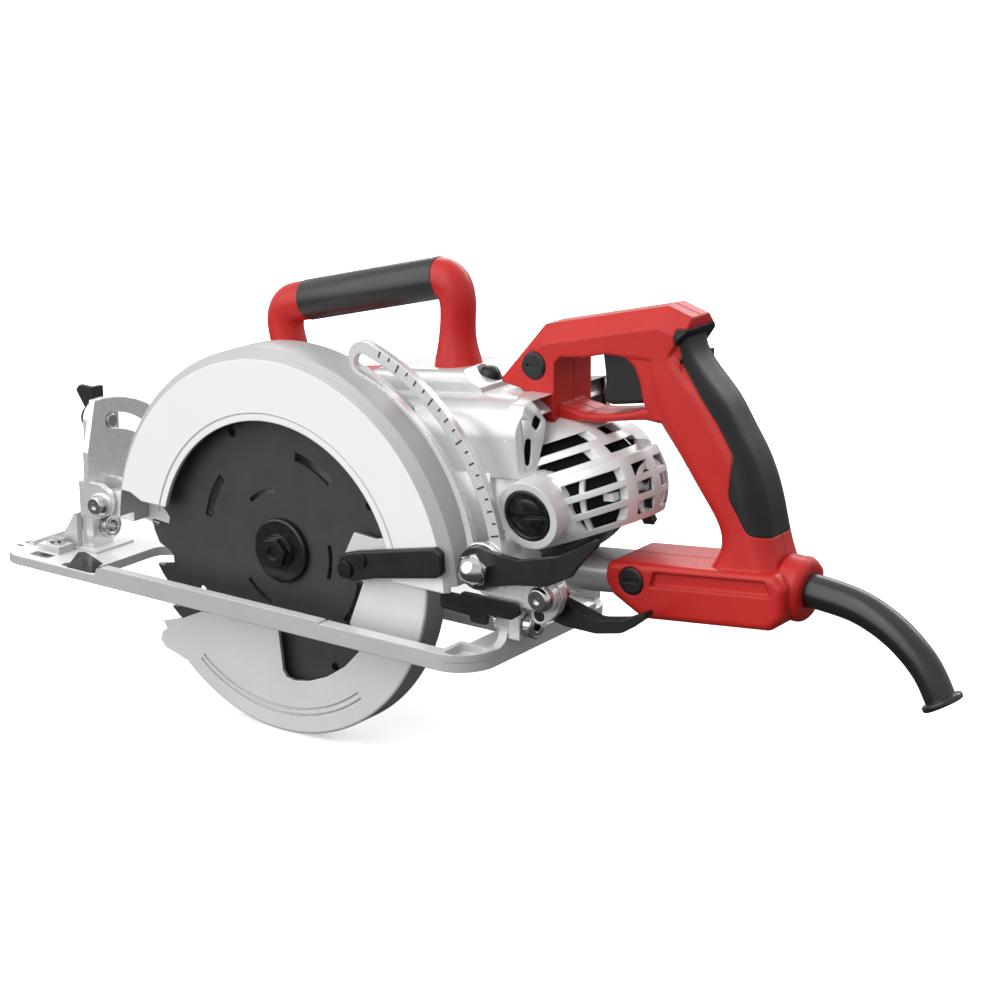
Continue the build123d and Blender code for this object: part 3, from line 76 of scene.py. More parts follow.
def grey(v, a=1.0):
    return (v, v, v, a)


def noise(nt, vec, scale, detail=4.0, rough=0.55):
    n = nt.nodes.new("ShaderNodeTexNoise")
    n.inputs["Scale"].default_value = scale
    n.inputs["Detail"].default_value = detail
    n.inputs["Roughness"].default_value = rough
    nt.links.new(vec, n.inputs["Vector"])
    return n.outputs[0]


def material(name, dark, light, metallic, rough, rough_var=0.08, tone_scale=60.0, grain_scale=1600.0, grain=0.02,
             coarse_scale=0.0, coarse=0.0, stretch=None, edge=None, bevel=0.0, coat=0.0, spec=0.5, coat_rough=0.1, side_shade=None, side_shade_axis=1, side_shade_at=(0.35, 0.75), shade_below=None, shade_core=None):
    """Procedural surface: tone from soft noise, roughness from mid noise, grain and swell as bump, worn edges,
    painted shade as a darker second tone on the faces that turn away from one axis, painted shade as a dark third
    tone under a plane, and painted shade as a near-black core around an axis.
    """
    m = bpy.data.materials.new(name)
    m.use_nodes = True
    nt = m.node_tree
    nt.nodes.clear()
    out = nt.nodes.new("ShaderNodeOutputMaterial")
    bs = nt.nodes.new("ShaderNodeBsdfPrincipled")
    nt.links.new(bs.outputs[0], out.inputs[0])
    bs.inputs["Metallic"].default_value = metallic
    bs.inputs["Specular IOR Level"].default_value = spec
    bs.inputs["Coat Weight"].default_value = coat
    bs.inputs["Coat Roughness"].default_value = coat_rough
    tc = nt.nodes.new("ShaderNodeTexCoord")
    vec = tc.outputs["Object"]
    if stretch:
        mp = nt.nodes.new("ShaderNodeMapping")
        mp.inputs["Scale"].default_value = stretch
        nt.links.new(vec, mp.inputs["Vector"])
        gvec = mp.outputs[0]
    else:
        gvec = vec
    tone = noise(nt, vec, tone_scale, 5.0)
    col = ramp(nt, tone, [(0.3, tuple(dark) + (1.0,)), (0.7, tuple(light) + (1.0,))])
    # painted shade: faces that turn away from the chosen axis get a darker second tone, which stands in for shade on
    # side faces and rims
    if side_shade:
        sep = nt.nodes.new("ShaderNodeSeparateXYZ")
        nt.links.new(tc.outputs["Normal"], sep.inputs[0])
        ab = nt.nodes.new("ShaderNodeMath")
        ab.operation = "ABSOLUTE"
        nt.links.new(sep.outputs[side_shade_axis], ab.inputs[0])
        rm = ramp(nt, ab.outputs[0], [(side_shade_at[0], grey(1.0)), (side_shade_at[1], grey(0.0))])
        mx0 = nt.nodes.new("ShaderNodeMix")
        mx0.data_type = "RGBA"
        nt.links.new(rm, mx0.inputs[0])
        nt.links.new(col, mx0.inputs[6])
        side_shade_col = ramp(nt, tone, [(0.3, tuple(0.94 * c for c in side_shade) + (1.0,)), (0.7, tuple(side_shade) + (1.0,))])
        nt.links.new(side_shade_col, mx0.inputs[7])
        col = mx0.outputs[2]
    # painted shade: below a plane the colour turns to a dark third tone, which stands in for the shaded underside
    if shade_below:
        dp = nt.nodes.new("ShaderNodeVectorMath")
        dp.operation = "DOT_PRODUCT"
        nt.links.new(vec, dp.inputs[0])
        dp.inputs[1].default_value = shade_below[0]
        mr = nt.nodes.new("ShaderNodeMapRange")
        mr.inputs["From Min"].default_value = shade_below[1] - 0.0004
        mr.inputs["From Max"].default_value = shade_below[1] + 0.0004
        nt.links.new(dp.outputs["Value"], mr.inputs["Value"])
        shade_below_col = ramp(nt, tone, [(0.3, tuple(0.8 * c for c in shade_below[2]) + (1.0,)), (0.7, tuple(shade_below[2]) + (1.0,))])
        mx1 = nt.nodes.new("ShaderNodeMix")
        mx1.data_type = "RGBA"
        nt.links.new(mr.outputs[0], mx1.inputs[0])
        nt.links.new(shade_below_col, mx1.inputs[6])
        nt.links.new(col, mx1.inputs[7])
        col = mx1.outputs[2]
    # painted shade: inside stepped radii around an axis the colour turns near-black, which stands in for the shade
    # inside the bell seen through its slots
    if shade_core:
        sb = nt.nodes.new("ShaderNodeVectorMath")
        sb.operation = "SUBTRACT"
        nt.links.new(vec, sb.inputs[0])
        sb.inputs[1].default_value = shade_core[0]
        cp = nt.nodes.new("ShaderNodeVectorMath")
        cp.operation = "CROSS_PRODUCT"
        nt.links.new(sb.outputs[0], cp.inputs[0])
        cp.inputs[1].default_value = shade_core[1]
        ln = nt.nodes.new("ShaderNodeVectorMath")
        ln.operation = "LENGTH"
        nt.links.new(cp.outputs[0], ln.inputs[0])
        du = nt.nodes.new("ShaderNodeVectorMath")
        du.operation = "DOT_PRODUCT"
        nt.links.new(sb.outputs[0], du.inputs[0])
        du.inputs[1].default_value = shade_core[1]
        for r_max, u_max in shade_core[2]:
            fac = []
            for source, lim in ((ln.outputs["Value"], r_max), (du.outputs["Value"], u_max)):
                mr = nt.nodes.new("ShaderNodeMapRange")
                mr.inputs["From Min"].default_value = lim - 0.0002
                mr.inputs["From Max"].default_value = lim + 0.0002
                mr.inputs["To Min"].default_value = 1.0
                mr.inputs["To Max"].default_value = 0.0
                nt.links.new(source, mr.inputs["Value"])
                fac.append(mr.outputs[0])
            mu = nt.nodes.new("ShaderNodeMath")
            mu.operation = "MULTIPLY"
            nt.links.new(fac[0], mu.inputs[0])
            nt.links.new(fac[1], mu.inputs[1])
            inner_shade = ramp(nt, tone, [(0.3, grey(0.007)), (0.7, grey(0.011))])
            mx2 = nt.nodes.new("ShaderNodeMix")
            mx2.data_type = "RGBA"
            nt.links.new(mu.outputs[0], mx2.inputs[0])
            nt.links.new(col, mx2.inputs[6])
            nt.links.new(inner_shade, mx2.inputs[7])
            col = mx2.outputs[2]
    if edge:
        geo = nt.nodes.new("ShaderNodeNewGeometry")
        em = ramp(nt, geo.outputs["Pointiness"], [(0.53, grey(0.0)), (0.60, grey(1.0))])
        brk = noise(nt, vec, 420.0, 6.0)
        mm = nt.nodes.new("ShaderNodeMath")
        mm.operation = "MULTIPLY"
        nt.links.new(em, mm.inputs[0])
        nt.links.new(brk, mm.inputs[1])
        mx = nt.nodes.new("ShaderNodeMix")
        mx.data_type = "RGBA"
        nt.links.new(mm.outputs[0], mx.inputs[0])
        nt.links.new(col, mx.inputs[6])
        mx.inputs[7].default_value = tuple(edge) + (1.0,)
        col = mx.outputs[2]
    nt.links.new(col, bs.inputs["Base Color"])
    rn = noise(nt, gvec, 260.0, 6.0)
    rr = ramp(nt, rn, [(0.25, grey(max(rough - rough_var, 0.02))), (0.75, grey(min(rough + rough_var, 1.0)))])
    nt.links.new(rr, bs.inputs["Roughness"])
    normal = None
    if bevel > 0:
        bv = nt.nodes.new("ShaderNodeBevel")
        bv.samples = 6
        bv.inputs["Radius"].default_value = bevel
        normal = bv.outputs[0]
    if coarse > 0:
        cn = noise(nt, vec, coarse_scale, 3.0)
        b = nt.nodes.new("ShaderNodeBump")
        b.inputs["Strength"].default_value = coarse
        b.inputs["Distance"].default_value = 0.001
        nt.links.new(cn, b.inputs["Height"])
        if normal:
            nt.links.new(normal, b.inputs["Normal"])
        normal = b.outputs[0]
    if grain > 0:
        gn = noise(nt, gvec, grain_scale, 3.0)
        b = nt.nodes.new("ShaderNodeBump")
        b.inputs["Strength"].default_value = grain
        b.inputs["Distance"].default_value = 0.001
        nt.links.new(gn, b.inputs["Height"])
        if normal:
            nt.links.new(normal, b.inputs["Normal"])
        normal = b.outputs[0]
    if normal:
        nt.links.new(normal, bs.inputs["Normal"])
    return m


# motor frame: u along the motor, v across, w up, tilted so that the rear rises
TILT = math.radians(6.3)
MOT_Y, MOT_W = 52.0, 31.0


def motor(u, v, w):
    """Point given from the motor axis, in millimetres, as a point of the shared frame in metres."""
    w = w + MOT_W
    return Vector(((u * math.cos(TILT) - w * math.sin(TILT)) * MM, (MOT_Y + v) * MM, (32.0 + u * math.sin(TILT) + w * math.cos(TILT)) * MM))


ROWS = math.radians(6.3 + 16.0)
ROW_N = Vector((-math.sin(ROWS), 0.0, math.cos(ROWS)))

M = {}
# bell casting: painted shade, near-black below the third slot row and near-black inside around the motor axis
M["bell"] = material("bell_casting", (0.74, 0.75, 0.75), (0.83, 0.84, 0.84), 0.18, 0.32, 0.02, 30, 1500, 0.0, bevel=0.0008, shade_below=(ROW_N, motor(169, 0, 0).dot(ROW_N) - 0.0195, (0.030, 0.030, 0.031)),
                     shade_core=(motor(0, 0, 0), Vector((math.cos(TILT), 0.0, math.sin(TILT))), ((0.0240, 0.1765), (0.0203, 0.1803), (0.0166, 0.1864), (0.0143, 0.1915), (0.0100, 0.1944))))
M["plated"] = material("zinc_plated", (0.80, 0.81, 0.82), (0.84, 0.85, 0.86), 0.60, 0.27, 0.015, 30, 900, 0.0, bevel=0.0008)
M["arm"] = material("arm_casting", (0.60, 0.61, 0.62), (0.70, 0.71, 0.72), 0.60, 0.34, 0.05, 40, 1500, 0.0)
M["boot"] = material("boot_rubber", (0.012, 0.012, 0.0125), (0.019, 0.019, 0.0195), 0.0, 0.27, 0.04, 60, 2200, 0.02, bevel=0.0006, spec=0.6)
M["sleeve"] = material("sleeve_rubber", (0.018, 0.018, 0.0185), (0.026, 0.026, 0.0265), 0.0, 0.34, 0.05, 60, 1800, 0.05, spec=0.55)
M["hub"] = material("hub_black", (0.010, 0.010, 0.011), (0.018, 0.018, 0.019), 0.3, 0.20, 0.05, 90, 900, 0.015, bevel=0.0008, spec=0.7)
# painted shade: near-black matte sheets placed inside, where there is only shade
M["hollow"] = material("dark_inside", (0.006, 0.006, 0.006), (0.010, 0.010, 0.010), 0.0, 0.85, 0.05, 90, 900, 0.02, spec=0.1)
M["cast"] = material("cast_silver_metal", (0.68, 0.69, 0.69), (0.76, 0.77, 0.77), 0.45, 0.32, 0.05, 40, 1500, 0.02, bevel=0.0010)
# upper and lower guard: painted shade, a darker tone on the rim faces; foot: painted shade, a darker tone on its
# vertical sides
M["guard"] = material("guard_casting", (0.93, 0.94, 0.94), (0.96, 0.97, 0.97), 0.06, 0.36, 0.04, 26, 1500, 0.02, bevel=0.0010, side_shade=(0.52, 0.53, 0.53), side_shade_at=(0.78, 0.94))
M["lguard"] = material("lower_guard_casting", (0.70, 0.71, 0.71), (0.76, 0.77, 0.77), 0.12, 0.36, 0.06, 26, 1500, 0.03, bevel=0.0007, side_shade=(0.30, 0.305, 0.305))
M["foot"] = material("foot_casting", (0.84, 0.85, 0.85), (0.90, 0.91, 0.91), 0.15, 0.32, 0.06, 40, 1500, 0.025, bevel=0.0007, side_shade=(0.56, 0.57, 0.57), side_shade_axis=2)
M["cast_dark"] = material("cast_bare", (0.46, 0.47, 0.48), (0.56, 0.57, 0.58), 0.80, 0.30, 0.08, 50, 1500, 0.03, bevel=0.0006)
M["steel"] = material("brushed_steel", (0.40, 0.41, 0.42), (0.54, 0.55, 0.56), 1.0, 0.30, 0.08, 90, 900, 0.03, stretch=(1, 1, 6), bevel=0.0004)
M["bright"] = material("polished_steel", (0.62, 0.62, 0.63), (0.68, 0.68, 0.69), 1.0, 0.13, 0.015, 40, 700, 0.0, bevel=0.0006)
M["strap"] = material("strap_steel", (0.76, 0.77, 0.78), (0.82, 0.83, 0.84), 0.50, 0.28, 0.015, 30, 700, 0.0, bevel=0.0006)
M["blade"] = material("blade_coating", (0.040, 0.040, 0.041), (0.052, 0.052, 0.053), 0.2, 0.50, 0.07, 60, 900, 0.03, bevel=0.0002)
M["tip"] = material("carbide", (0.30, 0.30, 0.31), (0.44, 0.44, 0.45), 1.0, 0.34, 0.08, 300, 900, 0.02, bevel=0.0002)
M["black_steel"] = material("black_oxide", (0.007, 0.007, 0.0075), (0.012, 0.012, 0.0125), 0.1, 0.30, 0.04, 90, 900, 0.012, bevel=0.0008, spec=0.40)
M["red"] = material("red_plastic", (0.50, 0.016, 0.013), (0.56, 0.021, 0.017), 0.0, 0.38, 0.04, 30, 2600, 0.012, bevel=0.0022, spec=0.38)
M["black"] = material("black_plastic", (0.009, 0.009, 0.0095), (0.015, 0.015, 0.0155), 0.0, 0.34, 0.06, 60, 2000, 0.03, bevel=0.0008, spec=0.42)
M["rubber"] = material("black_rubber", (0.008, 0.008, 0.0084), (0.013, 0.013, 0.0134), 0.0, 0.42, 0.05, 60, 2200, 0.04, bevel=0.0010, spec=0.36)
M["brass"] = material("turned_brass", (0.55, 0.38, 0.13), (0.72, 0.52, 0.22), 1.0, 0.28, 0.08, 120, 900, 0.02)
M["copper"] = material("enamelled_copper", (0.42, 0.16, 0.06), (0.58, 0.26, 0.11), 0.9, 0.32, 0.08, 300, 700, 0.10, stretch=(1, 8, 1))
M["carbon"] = material("carbon_block", (0.02, 0.02, 0.02), (0.05, 0.05, 0.05), 0.0, 0.6, 0.1, 200, 1500, 0.08)
M["mark"] = material("scale_mark", (0.030, 0.030, 0.031), (0.050, 0.050, 0.052), 0.0, 0.5, 0.08, 400, 1500, 0.02)

SLOT = {"cast_silver": "cast", "cast_bare": "cast_dark", "steel": "steel", "steel_bright": "bright", "blade_grey": "blade", "black_steel": "black_steel",
        "red_plastic": "red", "black_plastic": "black", "black_rubber": "rubber", "brass": "brass", "copper": "copper", "carbon": "carbon"}
SLOT_OF = {s["node"]: s["material_slot"] for s in frame["record"]["subparts"]}


SPECIAL = {"upper_guard": "guard", "lower_guard": "lguard", "foot_plate": "foot", "depth_link": "strap", "end_bell": "bell", "handle_arm": "arm", "cord_boot": "boot", "front_grip": "sleeve",
           "front_upright": "plated", "bevel_bracket": "plated", "rear_bracket": "plated", "outer_flange": "hub", "blade_bolt": "hub", "lever_screws": "black_steel", "brush_caps": "hub"}


def smooth_group():
    """Rounded shading that stays crisp where two faces meet at more than 28 degrees."""
    g = bpy.data.node_groups.new("smooth_by_angle", "GeometryNodeTree")
    g.interface.new_socket("Geometry", in_out="INPUT", socket_type="NodeSocketGeometry")
    g.interface.new_socket("Geometry", in_out="OUTPUT", socket_type="NodeSocketGeometry")
    gi = g.nodes.new("NodeGroupInput")
    go = g.nodes.new("NodeGroupOutput")
    ang = g.nodes.new("GeometryNodeInputMeshEdgeAngle")
    cmp_ = g.nodes.new("FunctionNodeCompare")
    cmp_.data_type = "FLOAT"
    cmp_.operation = "LESS_THAN"
    cmp_.inputs[1].default_value = math.radians(28.0)
    face = g.nodes.new("GeometryNodeSetShadeSmooth")
    face.domain = "FACE"
    edge = g.nodes.new("GeometryNodeSetShadeSmooth")
    edge.domain = "EDGE"
    g.links.new(gi.outputs[0], face.inputs[0])
    g.links.new(face.outputs[0], edge.inputs[0])
    g.links.new(ang.outputs[0], cmp_.inputs[0])
    g.links.new(cmp_.outputs[0], edge.inputs[2])
    g.links.new(edge.outputs[0], go.inputs[0])
    return g


SMOOTH = smooth_group()


def smooth(o):
    md = o.modifiers.new("smooth_by_angle", "NODES")
    md.node_group = SMOOTH


for name, o in N.items():
    o.data.materials.clear()
    o.data.materials.append(M[SPECIAL.get(name, SLOT[SLOT_OF[name]])])
    smooth(o)

# ------------------------------------------------------------------
# pieces built in mesh code
# ------------------------------------------------------------------
def piece(name, bm, mat, body, bevel=0.0, segs=2):
    bmesh.ops.recalc_face_normals(bm, faces=bm.faces[:])
    me = bpy.data.meshes.new(name)
    bm.to_mesh(me)
    bm.free()
    o = bpy.data.objects.new(name, me)
    bpy.context.scene.collection.objects.link(o)
    me.materials.append(M[mat])
    if bevel:
        b = o.modifiers.new("bevel", "BEVEL")
        b.width = bevel
        b.segments = segs
        b.limit_method = "ANGLE"
        b.angle_limit = math.radians(35)
    smooth(o)
    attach(o, body)
    return o


def prism(bm, pts, y0, y1):
    """Solid between two parallel copies of an outline in x and z, all in millimetres."""
    lo = [bm.verts.new((x * MM, y0 * MM, z * MM)) for x, z in pts]
    hi = [bm.verts.new((x * MM, y1 * MM, z * MM)) for x, z in pts]
    bm.faces.new(lo)
    bm.faces.new(hi[::-1])
    n = len(pts)
    for i in range(n):
        bm.faces.new((lo[i], hi[i], hi[(i + 1) % n], lo[(i + 1) % n]))


def polar(c, r, a):
    return (c[0] + r * math.cos(math.radians(a)), c[1] + r * math.sin(math.radians(a)))


# brazed carbide tips on the 24 teeth
bm = bmesh.new()
for i in range(24):
    t = 15.0 * i
    tip = [polar((0, 32.0), 86.4, t + 0.32), polar((0, 32.0), 91.9, t + 0.02), polar((0, 32.0), 91.5, t + 1.35), polar((0, 32.0), 90.6, t + 1.75), polar((0, 32.0), 86.8, t + 1.75)]
    prism(bm, tip, -1.25, 1.25)
piece("carbide_tips", bm, "tip", "blade_set", 0.00018)

def lathe(bm, prof, place, segs=72, a0=0.0, a1=360.0):
    """Closed outline (along, radius) turned about an axis; place maps (along, a, b) to the frame."""
    full = abs(a1 - a0) >= 359.9
    n = segs if full else segs + 1
    rings = []
    for k in range(n):
        a = math.radians(a0 + (a1 - a0) * k / segs)
        rings.append([bm.verts.new(place(t, r * math.cos(a), r * math.sin(a))) for t, r in prof])
    m = len(prof)
    for k in range(segs):
        p, q = rings[k], rings[(k + 1) % n]
        for i in range(m):
            j = (i + 1) % m
            bm.faces.new((p[i], p[j], q[j], q[i]))
    if not full:
        bm.faces.new(rings[0])
        bm.faces.new(rings[-1][::-1])


# painted shade: near-black shells behind the slots of the motor bell stand in for the shade inside it
bm = bmesh.new()
DRUM = [(150, 34.6), (153.1, 33.7), (160.5, 32.1), (167.1, 30.2), (172.5, 28.2), (177.1, 25.8), (181.2, 23.0), (184.6, 19.9), (187.6, 16.0), (190.1, 11.3), (191.4, 7.6)]
DOME = [(146, 34.6), (152, 32.2), (158, 29.8), (164, 27.5), (169.5, 24.6), (174, 21.5), (178, 17.6), (181, 14.1)]


def keep_side(bm, level, above):
    """Drop the part of the mesh on one side of a plane parallel to the slot rows, then close the cut."""
    n = -ROW_N if above else ROW_N
    bmesh.ops.bisect_plane(bm, geom=bm.verts[:] + bm.edges[:] + bm.faces[:], dist=1e-7, plane_co=motor(169, 0, 0) + ROW_N * level * MM, plane_no=n, clear_outer=True)
    bmesh.ops.holes_fill(bm, edges=[e for e in bm.edges if e.is_boundary], sides=0)


lathe(bm, DRUM + [(u - 0.6, r - 0.5) for u, r in reversed(DRUM)], lambda t, a, b: motor(t, a, b))
keep_side(bm, 8.8, False)
keep_side(bm, -16.4, True)
bm2 = bmesh.new()
lathe(bm2, DOME + [(u - 0.6, r - 0.5) for u, r in reversed(DOME)], lambda t, a, b: motor(t, a, b))
keep_side(bm2, 7.5, True)
piece("dome_air_guide", bm2, "hollow", "saw_body")
piece("bell_air_guide", bm, "hollow", "saw_body")

# slanted rear corner walls of the motor case with two slots each, and a near-black plate behind them as painted shade
# for the space inside
WALL = [(-0.02, 42.0), (0.43, 44.0), (0.54, 51.0), (0.66, 58.0), (0.74, 63.5), (0.76, 68.2), (0.62, 74.0), (0.47, 78.6), (0.27, 76.4), (0.15, 70.8), (0.04, 60.0)]
VENTS = ([(0.16, 49.8), (0.18, 55.0), (0.23, 60.0), (0.31, 61.0), (0.38, 59.4), (0.34, 53.0), (0.29, 48.0), (0.22, 47.4)],
         [(0.42, 67.0), (0.47, 70.4), (0.53, 71.6), (0.61, 69.8), (0.65, 68.2), (0.59, 65.6), (0.52, 64.0), (0.46, 65.2)])


def corner(t, w_, side, depth):
    """Point on the slanted corner: t along it, w_ up, depth towards the inside."""
    u = 144.6 + 12.4 * t - 0.808 * depth
    v = 41.0 - 17.0 * t - 0.589 * depth
    return motor(u, side * v, w_ - MOT_W)


def plate(bm, loops, side, d0, d1):
    """Plate with holes between two depths."""
    edges = []
    rims = []
    for lp in loops:
        vs = [bm.verts.new(corner(t, w_, side, d0)) for t, w_ in lp]
        rims.append(vs)
        edges += [bm.edges.new((vs[i], vs[(i + 1) % len(vs)])) for i in range(len(vs))]
    made = bmesh.ops.triangle_fill(bm, use_beauty=True, use_dissolve=False, edges=edges)
    faces = [g for g in made["geom"] if isinstance(g, bmesh.types.BMFace)]
    ext = bmesh.ops.extrude_face_region(bm, geom=faces)
    step = corner(0.0, 50.0, side, d1) - corner(0.0, 50.0, side, d0)
    bmesh.ops.translate(bm, vec=step, verts=[g for g in ext["geom"] if isinstance(g, bmesh.types.BMVert)])
    return rims


bm, bd = bmesh.new(), bmesh.new()
for side in (-1, 1):
    plate(bm, (WALL,) + VENTS, side, 0.0, 2.0)
    plate(bd, (WALL,), side, 2.9, 3.4)
    # shoulder between the side of the case and the slanted wall
    near = [motor(138.0, side * v, w_ - MOT_W) for v, w_ in ((23.0, 79.7), (33.2, 76.6), (38.9, 71.4), (41.15, 60.0))]
    far = [corner(t, w_, side, 0.0) for t, w_ in ((0.47, 78.6), (0.27, 76.4), (0.15, 70.8), (0.04, 60.0))]
    vn, vf = [bm.verts.new(p) for p in near], [bm.verts.new(p) for p in far]
    for i in range(3):
        bm.faces.new((vn[i], vn[i + 1], vf[i + 1], vf[i]))
# roof that joins the two sides in front of the handle post
RIDGE = [(138.0, 23.0, 79.7)] + [(144.6 + 12.4 * t, 41.0 - 17.0 * t, w_) for t, w_ in ((0.47, 78.6),)]
left = [bm.verts.new(motor(u, -v, w_ - MOT_W)) for u, v, w_ in RIDGE]
right = [bm.verts.new(motor(u, v, w_ - MOT_W)) for u, v, w_ in RIDGE]
for i in range(len(RIDGE) - 1):
    bm.faces.new((left[i], left[i + 1], right[i + 1], right[i]))
bmesh.ops.remove_doubles(bm, verts=bm.verts[:], dist=1e-6)
piece("case_corner_walls", bm, "cast", "saw_body", 0.0002)
piece("case_corner_dark", bd, "hollow", "saw_body")

# flange that closes the front of the motor case against the gear housing
bm = bmesh.new()
lathe(bm, [(47.4, 42.8), (45.6, 42.8), (44.9, 42.4), (44.6, 41.6), (44.6, 16.0), (47.4, 16.0)], lambda t, a, b: motor(t, a, b), 96, -136.0, 136.0)
piece("motor_flange", bm, "cast", "saw_body")

# brush caps: raised rim and a domed centre with the driver slot
CAP = math.radians(8.0)


def cap_place(side):
    def place(t, a, b):
        v, w_ = side * t, b
        return motor(150.0 + a, v * math.cos(CAP) - w_ * math.sin(CAP), v * math.sin(CAP) + w_ * math.cos(CAP))
    return place


bm = bmesh.new()
for side in (-1, 1):
    pl = cap_place(side)
    lathe(bm, [(44.0, 13.1), (44.9, 12.9), (45.2, 12.4), (45.2, 11.4), (44.9, 10.9), (44.0, 10.7)], pl, 56)
    for half in (0, 1):
        dome = []
        for a in range(13):
            t = math.radians(7.0 + 166.0 * a / 12 + 180.0 * half)
            dome.append((8.6 * math.cos(t), 8.6 * math.sin(t)))
        low = [bm.verts.new(pl(44.0, x, z)) for x, z in dome]
        mid = [bm.verts.new(pl(44.7, x, z)) for x, z in dome]
        top = [bm.verts.new(pl(45.3, 0.72 * x, (0.72 * z) if abs(0.72 * z) > 1.06 else math.copysign(1.06, z))) for x, z in dome]
        k = len(dome)
        for i in range(k):
            j = (i + 1) % k
            bm.faces.new((low[i], low[j], mid[j], mid[i]))
            bm.faces.new((mid[i], mid[j], top[j], top[i]))
        bm.faces.new(low[::-1])
        bm.faces.new(top)
piece("brush_cap_faces", bm, "hub", "saw_body")

# front handle: one smooth loop, flush with the sleeve, wider at the foot of the rear post
LOOP_Y = 45.0
LOOP_L = [(-18.3, 152.6, 10.35), (-24.0, 151.2, 10.4), (-29.0, 149.4, 10.3), (-32.6, 145.6, 10.0), (-34.2, 140.4, 9.7), (-33.6, 134.0, 9.5), (-31.2, 126.0, 9.4), (-28.4, 116.0, 9.4), (-25.6, 105.0, 9.4), (-24.2, 98.6, 9.3)]
LOOP_R = [(66.6, 173.8, 10.3), (70.6, 173.6, 10.2), (74.4, 171.6, 9.9), (77.0, 167.6, 9.5), (78.2, 162.0, 9.2), (78.2, 155.0, 9.0), (77.9, 147.0, 9.3), (78.0, 139.0, 10.4), (78.4, 131.5, 12.0), (79.0, 125.4, 13.2)]


def smooth_path(pts, step):
    """Points every few tenths along a soft curve through the given stations."""
    out = []
    for i in range(len(pts) - 1):
        p0, p1, p2, p3 = pts[max(i - 1, 0)], pts[i], pts[i + 1], pts[min(i + 2, len(pts) - 1)]
        n = max(2, int(math.hypot(p2[0] - p1[0], p2[1] - p1[1]) / step))
        for k in range(n):
            t = k / n
            out.append(tuple(0.5 * (2 * b + (c - a) * t + (2 * a - 5 * b + 4 * c - d) * t * t + (3 * b - a - 3 * c + d) * t ** 3) for a, b, c, d in zip(p0, p1, p2, p3)))
    out.append(pts[-1])
    return out


bm = bmesh.new()
for run in (LOOP_L, LOOP_R):
    for x, z, r in smooth_path(run, 1.3):
        bmesh.ops.create_icosphere(bm, subdivisions=3, radius=r * MM, matrix=Matrix.Translation((x * MM, LOOP_Y * MM, z * MM)))
prism(bm, [(-22, 104), (-14, 114), (-8, 117), (66, 128.8), (80, 124.0), (66, 117), (50, 113.3)], 35.0, 55.0)
LOOP = piece("front_handle_loop", bm, "red", "saw_body")
# the whole loop is closed into one relaxed skin
rm = LOOP.modifiers.new("skin", "REMESH")
rm.mode = "VOXEL"
rm.voxel_size = 0.0007
rm.use_smooth_shade = True
sm = LOOP.modifiers.new("relax", "SMOOTH")
sm.factor = 0.5
sm.iterations = 12
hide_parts("front_handle")

# foam sleeve of the front handle with rounded lips
bm = bmesh.new()
AX = Vector((84.0, 0.0, 21.0)).normalized()
AZ = Vector((-AX.z, 0.0, AX.x))
S0 = Vector((-18.5, LOOP_Y, 152.5))
SL0, SL1 = 0.6, 90.0
lathe(bm, [(SL0, 8.2), (SL0, 10.0), (SL0 + 0.25, 10.4), (SL0 + 0.9, 10.6), (SL1 - 0.9, 10.6), (SL1 - 0.25, 10.4), (SL1, 10.0), (SL1, 8.2)],
      lambda t, a, b: (S0 + AX * t + Vector((0.0, a, 0.0)) + AZ * b) * MM, 72)
SLEEVE = piece("front_sleeve", bm, "sleeve", "saw_body")
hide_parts("front_grip")

# thin raised bead around the opening of the upper guard
bm = bmesh.new()
lathe(bm, [(-10.4, 80.6), (-10.75, 80.8), (-10.75, 81.6), (-10.4, 81.8)], lambda t, a, b: Vector(((1.5 + a) * MM, t * MM, (24.5 + b) * MM)), 120, 14.0, 168.0)
piece("guard_bead", bm, "cast", "saw_body")

# rolled rings on the heads of the two bevel pivots
bm = bmesh.new()
for x0, ro, ri in ((151.0, 7.2, 5.9), (151.0, 4.9, 3.7), (-132.8, 6.8, 5.6), (-132.8, 4.6, 3.5)):
    lathe(bm, [(x0 - 0.1, ro), (x0 + 0.45, ro - 0.15), (x0 + 0.6, (ro + ri) / 2), (x0 + 0.45, ri + 0.15), (x0 - 0.1, ri)], lambda t, a, b: Vector((t * MM, (10.0 + a) * MM, (18.8 + b) * MM)), 48)
piece("pivot_rings", bm, "bright", "foot")

# painted shade: a black plate on the floor of the fence channel in front of the blade opening stands in for the shade
# inside the channel
bm = bmesh.new()
CH = [(-131.0, -27.6), (-113.0, -27.6), (-119.5, -12.0), (-127.0, -8.6), (-142.0, -2.6), (-145.0, -5.0)]
lo = [bm.verts.new((x * MM, y * MM, 4.6 * MM)) for x, y in CH]
hi = [bm.verts.new((x * MM, y * MM, 5.3 * MM)) for x, y in CH]
bm.faces.new(lo[::-1])
bm.faces.new(hi)
for i in range(len(CH)):
    j = (i + 1) % len(CH)
    bm.faces.new((lo[i], lo[j], hi[j], hi[i]))
piece("fence_channel", bm, "black_steel", "foot", 0.0002)

# rip scale on the front edge of the foot
bm = bmesh.new()
for i in range(9):
    y = -14.2 + 6.1 * i
    ln = 7.0 if i % 2 else 4.4
    x0 = -182.6
    v = [bm.verts.new((x * MM, yy * MM, z * MM)) for z in (4.9, 5.16) for x, yy in ((x0, y - 0.65), (x0 + ln, y - 0.65), (x0 + ln, y + 0.65), (x0, y + 0.65))]
    for f in ((0, 3, 2, 1), (4, 5, 6, 7), (0, 1, 5, 4), (1, 2, 6, 5), (2, 3, 7, 6), (3, 0, 4, 7)):
        bm.faces.new([v[q] for q in f])
piece("rip_scale", bm, "mark", "foot")

